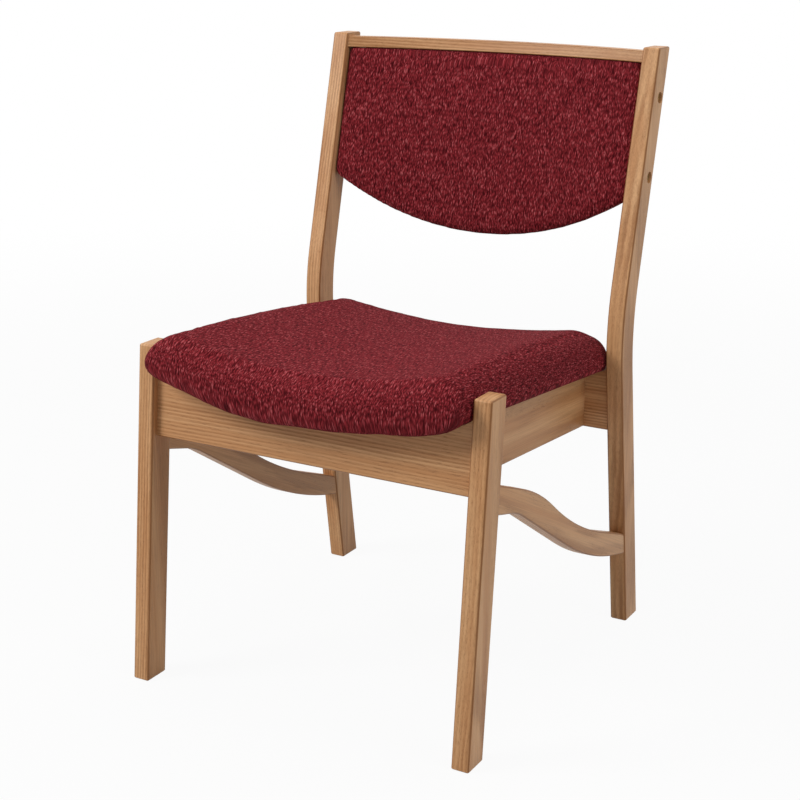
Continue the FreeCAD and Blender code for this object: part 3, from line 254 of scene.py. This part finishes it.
def makeStudio(values):
    world = WorldFinish()
    strength = world.between(directView(world), values["worldStrength"], 1.0, curve="LINEAR")
    glow = world.node("ShaderNodeBackground", {}, {"Color": (1, 1, 1, 1), "Strength": strength})
    end = world.tree.nodes.new("ShaderNodeOutputWorld")
    world.tree.links.new(glow.socket, end.inputs["Surface"])

    bpy.ops.mesh.primitive_plane_add(size=values["floorSize"], location=(0, 0, 0))
    floor = bpy.context.object
    floor.name = "studioFloor"
    paint = Finish("paleFloor")
    matt = paint.node("ShaderNodeBsdfDiffuse", {}, {"Color": values["floorColour"]})
    white = paint.node("ShaderNodeEmission", {}, {"Color": (1, 1, 1, 1), "Strength": 1.0})
    # the shadow's share fades out round the chair, so that no horizon shows
    away = paint.node("ShaderNodeVectorMath", {"operation": "LENGTH"}, {0: paint.place()}, output=1)
    share = directView(paint) * paint.between(away, 1 - values["shadowShare"], 1.0,
                                              *values["shadowReach"])
    surface = paint.node("ShaderNodeMixShader", {}, {0: share, 1: matt, 2: white})
    end = paint.tree.nodes.new("ShaderNodeOutputMaterial")
    paint.tree.links.new(surface.socket, end.inputs["Surface"])
    floor.data.materials.append(paint.material)
    bpy.context.scene.view_settings.view_transform = "Standard"


makeCamera(cameraValues)
makeLamps(lampValues)
makeStudio(studioValues)
print("camera, lamps and floor are in place")


# Wood

quarterTurn = math.pi / 2
# the arris colour darkens the pores, and is also the painted shade on the rounded edges
oakValues = {"light": srgb(218, 170, 122), "middle": srgb(197, 143, 95), "dark": srgb(146, 94, 50),
             "arris": srgb(138, 88, 44), "ringWidth": 0.0046, "pores": 0.65, "roughness": 0.44,
             "coat": 0.05, "poreDepth": 0.00022}
beechValues = {"light": srgb(214, 176, 140), "middle": srgb(198, 158, 120),
               "dark": srgb(170, 126, 90), "arris": srgb(160, 116, 78), "ringWidth": 0.007,
               "pores": 0.25, "roughness": 0.62, "coat": 0.0, "poreDepth": 0.00012}
# what both woods share: how far each pattern is drawn out along the grain, and how much it shows
grainValues = {
    "bendStretch": (2.2, 9, 9), "bend": 0.016, "rippleStretch": (14, 260, 260), "ripple": 0.55,
    "earlyRise": (0.02, 0.3), "earlyFall": (0.42, 0.9), "earlyShare": 0.62,
    "bandStretch": (1.1, 42, 42), "bandRange": (0.3, 0.7), "bandLeast": 0.25,
    "fibreStretch": (9, 900, 900), "fibreRange": (0.34, 0.62), "fibreShare": 0.3,
    "fibreRelief": 0.12, "broadStretch": (1.6, 55, 55), "broadRange": (0.3, 0.72),
    "poreStretch": (70, 2100, 2100), "poreRange": (0.6, 0.7), "latePores": 0.25,
    # the arris entries set the painted shade on the rounded edges
    "arrisShadeRange": (0.0, 0.24), "arrisShadeShare": 0.85,
    "glossRange": (-0.06, 0.08), "coatRoughness": 0.25, "specular": 0.28,
}


def woodFinish(name, values, grain, shift, flat, pattern=grainValues):
    # the turn lays the grain along X; flat is the axis that the member's wide faces look along
    turn, flatten, heart = grain
    wood = Finish(name)
    spot = wood.place(turn, shift)

    def streaks(stretch, detail, roughness=0.5):
        return wood.noise(wood.stretch(spot, pattern[stretch]), detail=detail, roughness=roughness)

    bend = streaks("bendStretch", 1.0) - 0.5
    offset = wood.node("ShaderNodeVectorMath", {"operation": "ADD"}, {0: spot, 1: heart})
    across = wood.node("ShaderNodeVectorMath", {"operation": "MULTIPLY"}, {0: offset, 1: flatten})
    radius = wood.node("ShaderNodeVectorMath", {"operation": "LENGTH"}, {0: across}, output=1)
    rings = (radius + bend * pattern["bend"]) / values["ringWidth"]
    ripple = streaks("rippleStretch", 2.0) - 0.5
    share = wood.node("ShaderNodeMath", {"operation": "FRACT"}, {0: rings + ripple * pattern["ripple"]})
    early = (wood.between(share, 0, 1, *pattern["earlyRise"])
             * wood.between(share, 1, 0, *pattern["earlyFall"]))
    band = wood.between(streaks("bandStretch", 1.0), pattern["bandLeast"], 1.0, *pattern["bandRange"])
    fibre = streaks("fibreStretch", 3.0, 0.6)
    broad = wood.between(streaks("broadStretch", 2.0), 0, 1, *pattern["broadRange"])
    colour = wood.mix(broad, values["middle"], values["light"])
    colour = wood.mix(early * band * pattern["earlyShare"], colour, values["dark"])
    colour = wood.mix(wood.between(fibre, pattern["fibreShare"], 0, *pattern["fibreRange"]),
                      colour, values["dark"])
    lateShare = pattern["latePores"]
    pore = (wood.between(streaks("poreStretch", 1.0), 0, 1, *pattern["poreRange"])
            * (lateShare + early * (1 - lateShare)) * values["pores"])
    colour = wood.mix(pore, colour, values["arris"])
    # painted shade: the member's rounded edges are painted a little darker, where they turn away from
    # the lamps
    facing = wood.parts(wood.node("ShaderNodeNewGeometry", output="Normal"))[flat]
    arris = wood.between(facing * facing * (1 - facing * facing), 0, pattern["arrisShadeShare"],
                         *pattern["arrisShadeRange"])
    colour = wood.mix(arris, colour, values["arris"])
    height = 0.5 + fibre * pattern["fibreRelief"] - pore
    smooth, rough = (values["roughness"] + step for step in pattern["glossRange"])
    return wood.shade({
        "Base Color": colour, "Roughness": wood.between(fibre, smooth, rough),
        "Coat Weight": values["coat"], "Coat Roughness": pattern["coatRoughness"],
        "Specular IOR Level": pattern["specular"],
        "Normal": wood.bump(height, values["poreDepth"]),
    })


# each grain is a turn, how the rings are flattened, and where the tree's heart lies
grainAcross = ((0, 0, 0), (0.02, 0.3, 1), (0, 0.03, 0.13))
grainUp = ((0, quarterTurn, 0), (0.02, 0.1, 1), (0, 0.03, 0.15))
grainRail = ((0.08, 0, -quarterTurn), (0.02, 1, 0.25), (0, 0.15, 0.03))
grainStretcher = ((0.449, 0, -quarterTurn), (0.02, 1, 0.3), (0, 0.15, 0.03))
oakMembers = {
    "front_rail": (grainAcross, (0.31, 0.0, 0.12), 1),
    "rear_rail": (grainAcross, (1.4, 0.2, 0.31), 1),
    "top_rail": (grainAcross, (2.3, 0.07, 0.52), 1),
    "side_rail_left": (grainRail, (3.1, 0.4, 0.2), 0),
    "side_rail_right": (grainRail, (4.4, 0.1, 0.7), 0),
    "side_stretcher_left": (grainStretcher, (5.2, 0.3, 0.4), 0),
    "side_stretcher_right": (grainStretcher, (6.8, 0.6, 0.1), 0),
    "front_leg_left": (grainUp, (7.3, 0.2, 0.3), 0),
    "front_leg_right": (grainUp, (8.9, 0.5, 0.6), 0),
    "rear_post_left": (grainUp, (9.7, 0.1, 0.2), 0),
    "rear_post_right": (grainUp, (11.2, 0.3, 0.9), 0),
}
for name, (grain, shift, flat) in oakMembers.items():
    dress([name], woodFinish("oak_" + name, oakValues, grain, shift, flat))

blockNames = [name for name in nodes if name.startswith("corner_block") and "screws" not in name]
for count, name in enumerate(sorted(blockNames)):
    dress([name], woodFinish("beech_" + name, beechValues, grainUp, (count * 1.7, 0.3, 0.1), 2))
dowelNames = [name for name in nodes if name.endswith("_dowels")]
dress(dowelNames, woodFinish("turnedBeech", beechValues, grainAcross, (0.2, 0.5, 0.8), 2))


plyValues = {"ply": 0.0014, "fibreStretch": (14, 700, 700), "fibreRange": (0.3, 0.7),
             "glueRange": (0.35, 0.65), "glueShare": 0.6, "roughness": (0.55, 0.7), "relief": 0.0001}


def plyFinish(name, values, colours, axis):
    # thin layers of beech, seen as light and dark lines at the edges
    wood = Finish(name)
    spot = wood.place()
    level = wood.parts(spot)[axis] / values["ply"]
    layer = wood.node("ShaderNodeMath", {"operation": "PINGPONG"}, {0: level, 1: 1.0})
    fibre = wood.noise(wood.stretch(spot, values["fibreStretch"]), detail=3.0)
    bright = wood.between(fibre, 0, 1, *values["fibreRange"])
    tone = wood.mix(bright, colours["middle"], colours["light"])
    glue = wood.between(layer, 0, values["glueShare"], *values["glueRange"])
    return wood.shade({"Base Color": wood.mix(glue, tone, colours["dark"]),
                       "Roughness": wood.between(fibre, *values["roughness"]),
                       "Normal": wood.bump(fibre, values["relief"])})


dress(["seat_board"], plyFinish("bentPlySeat", plyValues, beechValues, 2))
dress(["back_panel", "back_batten_left", "back_batten_right"],
      plyFinish("bentPlyBack", plyValues, beechValues, 1))
print("wood is dressed")


# Metal

brassValues = {"bright": (0.60, 0.42, 0.17, 1), "dull": (0.24, 0.14, 0.05, 1),
               "roughness": (0.28, 0.55)}
steelValues = {"bright": (0.62, 0.59, 0.50, 1), "dull": (0.38, 0.35, 0.30, 1),
               "roughness": (0.25, 0.45)}
# what both metals share: patches of tarnish and fine scratches
tarnishValues = {"patchScale": 160, "patchRange": (0.42, 0.66), "scratchStretch": (2600, 2600, 500),
                 "patchShare": 0.7, "scratchShare": 0.3, "scratchDepth": 0.00003}


def metalFinish(name, values, wear=tarnishValues):
    metal = Finish(name)
    spot = metal.place()
    patch = metal.noise(spot, scale=wear["patchScale"], detail=3.0, roughness=0.6)
    scratch = metal.noise(metal.stretch(spot, wear["scratchStretch"]), detail=2.0)
    dull = metal.between(patch, 0, 1, *wear["patchRange"])
    worn = dull * wear["patchShare"] + scratch * wear["scratchShare"]
    return metal.shade({
        "Base Color": metal.mix(dull, values["bright"], values["dull"]),
        "Metallic": 1.0, "Roughness": metal.between(worn, *values["roughness"]),
        "Normal": metal.bump(scratch, wear["scratchDepth"]),
    })


brass = metalFinish("dullBrass", brassValues)
steel = metalFinish("zincSteel", steelValues)
dress(["back_bolts", "back_inserts", "seat_inserts"], brass)
dress(["seat_screws", "corner_block_screws"], steel)
print("metal is dressed")


# Red chenille

chenilleValues = {
    "base": srgb(150, 45, 52), "deep": srgb(70, 6, 13), "light": srgb(188, 82, 88),
    "fleck": srgb(196, 96, 99), "stops": (0.26, 0.46, 0.62, 0.74, 0.9),
    "tuft": (0.0017, 0.0056), "scatter": 0.85, "bodyRange": (0.12, 0.62), "gapShadeShare": 0.8,
    "wanderScale": 55, "wander": 0.006, "hairStretch": (2900, 900, 1), "strandStretch": (520, 110, 1),
    "driftScale": 24, "tuftShare": 0.36, "strandShare": 1.35, "hairShare": 0.12, "driftShare": 0.1,
    "darken": 0.4, "tuftHeight": (0.7, 0.5), "hairHeight": 0.25, "relief": 0.0008,
    "roughness": (0.78, 0.95), "sheen": 0.05, "sheenRoughness": 0.4, "sheenTint": (0.8, 0.2, 0.24, 1),
    "specular": 0.08,
}


def chenilleFinish(values):
    cloth = Finish("redChenille")
    spread = cloth.node("ShaderNodeUVMap", {"uv_map": "weave"})
    wander = cloth.noise(spread, scale=values["wanderScale"], detail=2.0) - 0.5
    sideways = cloth.node("ShaderNodeCombineXYZ", {}, {0: wander * values["wander"]})
    bent = cloth.node("ShaderNodeVectorMath", {"operation": "ADD"}, {0: spread, 1: sideways})
    # one cell for each tuft: how far a point lies from its middle, and two chance numbers
    rows = cloth.stretch(bent, (1 / values["tuft"][0], 1 / values["tuft"][1], 1))
    away, chance = (cloth.node("ShaderNodeTexVoronoi", {"voronoi_dimensions": "2D", "feature": "F1"},
                               {"Vector": rows, "Scale": 1.0, "Randomness": values["scatter"]},
                               output=output) for output in (0, 1))
    tone, tall, _ = cloth.parts(chance)
    hair = cloth.noise(cloth.stretch(bent, values["hairStretch"]), detail=2.0)
    strand = cloth.noise(cloth.stretch(bent, values["strandStretch"]), detail=1.0)
    body = cloth.between(away, 1, 0, *values["bodyRange"])
    drift = cloth.noise(spread, scale=values["driftScale"], detail=3.0)
    lightness = (tone * values["tuftShare"] + strand * values["strandShare"]
                 + hair * values["hairShare"] + (drift - 0.5) * values["driftShare"] - values["darken"])
    colours = [values[colour] for colour in ("deep", "base", "base", "light", "fleck")]
    stops = list(zip(values["stops"], colours))
    colour = cloth.node("ShaderNodeValToRGB", {"stops": stops}, {0: lightness})
    # painted shade: the hollows between the tufts, where the bump is low, are painted deep red
    colour = cloth.mix((1 - body) * values["gapShadeShare"], colour, values["deep"])
    least, spare = values["tuftHeight"]
    height = body * (least + tall * spare) + hair * values["hairHeight"]
    return cloth.shade({
        "Base Color": colour, "Roughness": cloth.between(hair, *values["roughness"]),
        "Sheen Weight": values["sheen"], "Sheen Roughness": values["sheenRoughness"],
        "Sheen Tint": values["sheenTint"], "Specular IOR Level": values["specular"],
        "Normal": cloth.bump(height, values["relief"]),
    })


chenille = chenilleFinish(chenilleValues)


def joinPieces(name, copies):
    deselectAll()
    for copy in copies:
        copy.select_set(True)
    bpy.context.view_layer.objects.active = copies[0]
    bpy.ops.object.join()
    piece = bpy.context.object
    piece.name = name
    piece.data.materials.clear()
    return piece


def joinedCopy(name, nodeNames):
    # a copy of some CAD solids as one merged mesh
    copies = []
    for nodeName in nodeNames:
        copy = bpy.data.objects.new(nodeName + "_copy", nodes[nodeName].data.copy())
        bpy.context.collection.objects.link(copy)
        copies.append(copy)
    piece = joinPieces(name, copies)
    bpy.ops.object.mode_set(mode="EDIT")
    bpy.ops.mesh.select_all(action="SELECT")
    bpy.ops.mesh.remove_doubles(threshold=0.00001)
    bpy.ops.mesh.normals_make_consistent(inside=False)
    bpy.ops.object.mode_set(mode="OBJECT")
    return piece


def swell(piece, held, values):
    # pressure pushes the cloth out from its slightly smaller start, up to the cap
    start = vertexPlaces(piece.data)
    group = piece.vertex_groups.new(name="held")
    group.add(np.nonzero(held)[0].tolist(), 1.0, "REPLACE")
    activate(piece)
    cloth = piece.modifiers.new("Cloth", "CLOTH")
    cloth.settings.use_pressure = True
    cloth.settings.uniform_pressure_force = values["pressure"]
    cloth.settings.vertex_group_mass = "held"
    cloth.settings.effector_weights.gravity = 0
    scene = bpy.context.scene
    for moment in range(1, values["frames"] + 1):
        scene.frame_set(moment)
    shaped = piece.evaluated_get(bpy.context.evaluated_depsgraph_get())
    normals = vertexNormals(piece.data)
    # only the outward share of the movement is kept, so that the edges aren't drawn in
    outward = np.sum((vertexPlaces(shaped.data) - start) * normals, axis=1)
    piece.modifiers.remove(cloth)
    piece.vertex_groups.remove(group)
    scene.frame_set(1)
    outward = np.clip(outward, 0, values["cap"])
    print(piece.name, "swelled by", round(float(outward.mean()) * 1000, 2), "mm on average")
    moveVertices(piece.data, start + normals * outward[:, None])


def fillOut(places, normals, limits, values):
    # plump up to the wood round the edges, which remeshing rounds off
    near = np.zeros(len(places))
    for axis in (0, 2):
        gap = np.minimum(places[:, axis] - limits[0][axis], limits[1][axis] - places[:, axis])
        near = np.maximum(near, np.clip(1 - gap / values["edgeWidth"], 0, 1))
    near = np.maximum(near, np.clip(np.abs(normals[:, 2]) * values["edgeTurn"], 0, 1))
    return places + normals * near[:, None] * values["edgeFill"]


def grown(corner, steps):
    # a box's corner, moved a little on each axis
    return tuple(place + step for place, step in zip(corner, steps))


def cushionForm(name, nodeNames, values, heldTest, box):
    # the CAD form, remeshed and swelled, kept within its box and a little room round it
    limits = [grown(corner, steps) for corner, steps in zip(box, values["proud"])]
    piece = joinedCopy(name, nodeNames)
    applyModifier(piece, "REMESH", mode="VOXEL", voxel_size=values["voxel"])
    applyModifier(piece, "SMOOTH", factor=0.5, iterations=values["smoothing"])
    places, normals = vertexPlaces(piece.data), vertexNormals(piece.data)
    held = heldTest(places, normals)
    loose = (1 - held)[:, None]
    moveVertices(piece.data, places - normals * loose * values["shrink"])
    swell(piece, held > 0.5, values)
    places = vertexPlaces(piece.data)
    if "edgeFill" in values:
        places = fillOut(places, vertexNormals(piece.data), limits, values)
    moveVertices(piece.data, np.clip(places, *limits))
    applyModifier(piece, "SUBSURF", levels=1, render_levels=1)
    activate(piece)
    bpy.ops.object.shade_smooth()
    return piece


def stepLine(along, heights, start, steps, pick):
    # the highest or lowest point in each step along the cushion
    stops = np.linspace(start, along.max(), steps)
    picked = [pick(heights[(along >= a) & (along <= b)]) for a, b in zip(stops[:-1], stops[1:])]
    return (stops[:-1] + stops[1:]) / 2, picked


def layWeave(piece, places):
    # places are each vertex's two coordinates on the laid-out cloth, in metres
    layer = piece.data.uv_layers.new(name="weave")
    corners = np.zeros(len(piece.data.loops), dtype=np.int32)
    piece.data.loops.foreach_get("vertex_index", corners)
    layer.data.foreach_set("uv", places[corners].ravel())
    piece.data.materials.append(chenille)


# each sag is where it starts, is full, eases and ends across the seat, and how far it hangs
seatValues = {"voxel": 0.005, "smoothing": 2, "shrink": 0.001, "quickSwell": 0.0012,
              "pressure": 4.0, "frames": 20, "cap": 0.004, "fill": 0.7,
              "proud": ((0, -0.006, 0), (0, 0, 0.006)), "underTurn": -0.6,
              "clothSlope": 0.85, "leastTurn": 0.05, "crestSteps": 24,
              "lipDepth": 0.03, "lipEasing": 0.02, "railLap": 0.004, "columnWidth": 0.02,
              "sags": [(-0.17, -0.1, -0.05, 0.01, 0.0042), (0.12, 0.175, 0.2, 0.235, 0.0045)]}


def makeSeatCushion(values):
    low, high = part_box("seat_cover")

    def underside(places, normals):
        return (normals[:, 2] < values["underTurn"]).astype(float)

    piece = cushionForm("seatCushion", ["seat_cover", "seat_foam", "seat_board"], values, underside,
                        (low, high))
    sagFront(piece, values)
    places, normals = vertexPlaces(piece.data), vertexNormals(piece.data)
    x, y, z = places.T
    reach = np.abs(x)
    crest = np.interp(reach, *stepLine(reach, z, 0, values["crestSteps"], np.max))
    # the cloth goes on down the sides, so a drop there counts as a way along the cloth
    steep = 1 - np.maximum(normals[:, 2], 0) ** 2
    level = normals[:, 0] ** 2 + normals[:, 1] ** 2 + values["leastTurn"]
    way = values["clothSlope"] * np.maximum(0, crest - z) * steep / level
    middle = (low.y + high.y) / 2
    spread = x + np.sign(x) * way * normals[:, 0] ** 2
    run = y + np.sign(y - middle) * way * normals[:, 1] ** 2
    layWeave(piece, np.stack([spread, run], axis=1))
    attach(piece, "root")
    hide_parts("seat_cover", "seat_foam")
    return piece


def smoothRise(level, start, end):
    share = np.clip((level - start) / (end - start), 0, 1)
    return share * share * (3 - 2 * share)


def sagFront(piece, values):
    # the lower front edge hangs a little over the front rail in two places
    places = vertexPlaces(piece.data)
    x, y, z = places.T
    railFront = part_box("front_rail")[0].y + values["railLap"]
    ahead = smoothRise(railFront - y, 0, values["lipEasing"])
    sag = np.zeros(len(places))
    for start, full, easing, end, drop in values["sags"]:
        sag += drop * smoothRise(x, start, full) * (1 - smoothRise(x, easing, end))
    # the lip's lowest point in each column, from which the sag fades upwards
    columns = np.round(x / values["columnWidth"]).astype(int)
    lipBottom = np.zeros(len(places))
    for column in np.unique(columns):
        here = columns == column
        lipBottom[here] = z[here & (ahead > 0)].min(initial=z[here].max())
    lower = 1 - smoothRise(z - lipBottom, 0, values["lipDepth"])
    places[:, 2] -= sag * ahead * lower
    moveVertices(piece.data, places)


seatCushion = makeSeatCushion(seatValues)
print("seat cushion:", len(seatCushion.data.polygons), "faces")


padValues = {"voxel": 0.004, "smoothing": 1, "shrink": 0.0004, "quickSwell": 0.001,
             "pressure": 4.0, "frames": 20, "cap": 0.0032, "fill": 0.75,
             "proud": ((-0.001, -0.004, -0.003), (0.001, 0.003, 0)), "hiddenTurn": 0.8,
             "edgeWidth": 0.012, "edgeTurn": 1.5, "edgeFill": 0.0026,
             "clothSlope": 0.75, "faceSteps": 16}


def makeBackPad(values):
    def hidden(places, normals):
        turn = values["hiddenTurn"]
        return ((np.abs(normals[:, 0]) > turn) | (normals[:, 2] > turn)).astype(float)

    piece = cushionForm("backPad", ["back_cover", "back_foam", "back_wadding", "back_panel"], values,
                        hidden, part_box("back_cover"))
    places, normals = vertexPlaces(piece.data), vertexNormals(piece.data)
    x, y, z = places.T
    # how far behind the pad's face each point lies, which counts as a way along the cloth
    depth = y - np.interp(z, *stepLine(z, y, z.min(), values["faceSteps"], np.min))
    spread = x + np.sign(x) * values["clothSlope"] * normals[:, 0] ** 2 * depth
    run = z - values["clothSlope"] * normals[:, 2] ** 2 * depth
    layWeave(piece, np.stack([spread, run], axis=1))
    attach(piece, "root")
    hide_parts("back_cover", "back_foam", "back_wadding")
    return piece


backPad = makeBackPad(padValues)
print("back pad:", len(backPad.data.polygons), "faces")


# Black cloth stapled under the seat

clothValues = {"thickness": 0.0006, "steps": 90, "edgeRoom": 0.0002, "drop": 0.05,
               "slack": 0.0018, "waves": 0.0009, "waveTurns": ((61, 23), (-11, 47)),
               "colour": (0.016, 0.016, 0.018, 1), "worn": (0.045, 0.043, 0.042, 1),
               "fibreScale": 900, "dustScale": 14, "fibreShare": 0.6, "dustShare": 0.4,
               "wornRange": (0.4, 0.62), "dots": 620.0, "scatter": 0.1, "dotRange": (0.1, 0.4),
               "fibreHeight": 0.4, "relief": 0.0002, "roughness": (0.82, 0.96)}


def blackClothFinish(values):
    cloth = Finish("blackUnderCloth")
    spot = cloth.place()
    fibre = cloth.noise(spot, scale=values["fibreScale"], detail=3.0, roughness=0.65)
    dot = cloth.node("ShaderNodeTexVoronoi", {"feature": "F1"},
                     {"Vector": spot, "Scale": values["dots"], "Randomness": values["scatter"]})
    dust = cloth.noise(spot, scale=values["dustScale"], detail=4.0)
    tone = cloth.between(fibre * values["fibreShare"] + dust * values["dustShare"], 0, 1,
                         *values["wornRange"])
    height = cloth.between(dot, 0, 1, *values["dotRange"]) + fibre * values["fibreHeight"]
    return cloth.shade({"Base Color": cloth.mix(tone, values["colour"], values["worn"]),
                        "Roughness": cloth.between(fibre, *values["roughness"]),
                        "Normal": cloth.bump(height, values["relief"])})


def makeUnderCloth(values):
    low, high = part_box("seat_dust_cover")
    start = (0, (low.y + high.y) / 2, low.z - values["drop"])
    bpy.ops.mesh.primitive_grid_add(x_subdivisions=values["steps"], y_subdivisions=values["steps"],
                                    size=1, location=start)
    piece = bpy.context.object
    piece.name = "underCloth"
    # a hair smaller than the CAD cloth, so that every edge point finds it
    room = values["edgeRoom"]
    piece.dimensions = (high.x - low.x - 2 * room, high.y - low.y - 2 * room, 0)
    activate(piece)
    bpy.ops.object.transform_apply(location=True, rotation=True, scale=True)
    applyModifier(piece, "SHRINKWRAP", target=nodes["seat_dust_cover"], wrap_method="PROJECT",
                  use_project_z=True, use_positive_direction=True, use_negative_direction=False,
                  offset=values["thickness"])
    # a point whose projection missed takes the mean height of the nearest ones that hit
    places = vertexPlaces(piece.data)
    hit = places[:, 2] > low.z - values["drop"] / 2
    for spot in np.nonzero(~hit)[0]:
        away = np.hypot(places[:, 0] - places[spot, 0], places[:, 1] - places[spot, 1])
        places[spot, 2] = places[np.argsort(np.where(hit, away, np.inf))[:4], 2].mean()
    print("under cloth:", int((~hit).sum()), "missed points are filled in")
    # slack between the staples, most in the middle
    share = (places - np.array(low)) / np.array(high - low)
    slack = np.clip(16 * share[:, 0] * (1 - share[:, 0]) * share[:, 1] * (1 - share[:, 1]), 0, 1)
    first, second = (np.sin(places[:, 0] * across + places[:, 1] * along)
                     for across, along in values["waveTurns"])
    places[:, 2] -= slack * (values["slack"] + values["waves"] * first * second)
    moveVertices(piece.data, places)
    applyModifier(piece, "SOLIDIFY", thickness=values["thickness"], offset=-1)
    bpy.ops.object.shade_smooth()
    piece.data.materials.append(blackClothFinish(values))
    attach(piece, "root")
    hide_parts("seat_dust_cover")
    return piece


underCloth = makeUnderCloth(clothValues)
print("under cloth:", len(underCloth.data.polygons), "faces")


# Staples round the black cloth

stapleValues = {"crown": 0.0105, "wire": 0.0011, "step": 0.036, "inset": 0.006, "reach": 0.006,
                "rounding": 0.3}


def makeStaples(values):
    low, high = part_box("seat_dust_cover")
    cloth = vertexPlaces(underCloth.data)
    inset = values["inset"]
    made = []
    for axis, other in ((0, 1), (1, 0)):
        run = high[axis] - low[axis] - 2 * inset
        count = round(run / values["step"])
        for turn in range(count):
            along = low[axis] + inset + run * (turn + 0.5) / count
            for side in (low[other] + inset, high[other] - inset):
                x, y = (along, side) if axis == 0 else (side, along)
                near = cloth[np.hypot(cloth[:, 0] - x, cloth[:, 1] - y) < values["reach"]]
                made.append(stapleCrown((x, y, near[:, 2].min()), stapleTurn(near, axis), values))
    piece = joinPieces("clothStaples", made)
    bpy.ops.object.shade_smooth()
    piece.data.materials.append(steel)
    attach(piece, "root")
    return piece


def stapleCrown(spot, turn, values):
    # the part of a staple that shows: its legs are in the board
    bpy.ops.mesh.primitive_cylinder_add(vertices=8, radius=values["wire"] / 2, depth=values["crown"],
                                        location=spot, rotation=turn)
    staple = bpy.context.object
    bpy.ops.object.transform_apply(location=True, rotation=True, scale=True)
    applyModifier(staple, "BEVEL", width=values["wire"] * values["rounding"], segments=2)
    return staple


def stapleTurn(places, axis):
    # lies along the cloth's edge, at the cloth's own slope there
    spread = places[:, axis] - places[:, axis].mean()
    slope = float((spread * places[:, 2]).sum() / max((spread * spread).sum(), 1e-9))
    if axis == 0:
        return (0, quarterTurn - math.atan(slope), 0)
    return (quarterTurn + math.atan(slope), 0, 0)


staples = makeStaples(stapleValues)
print("staples:", len(staples.data.polygons), "faces")
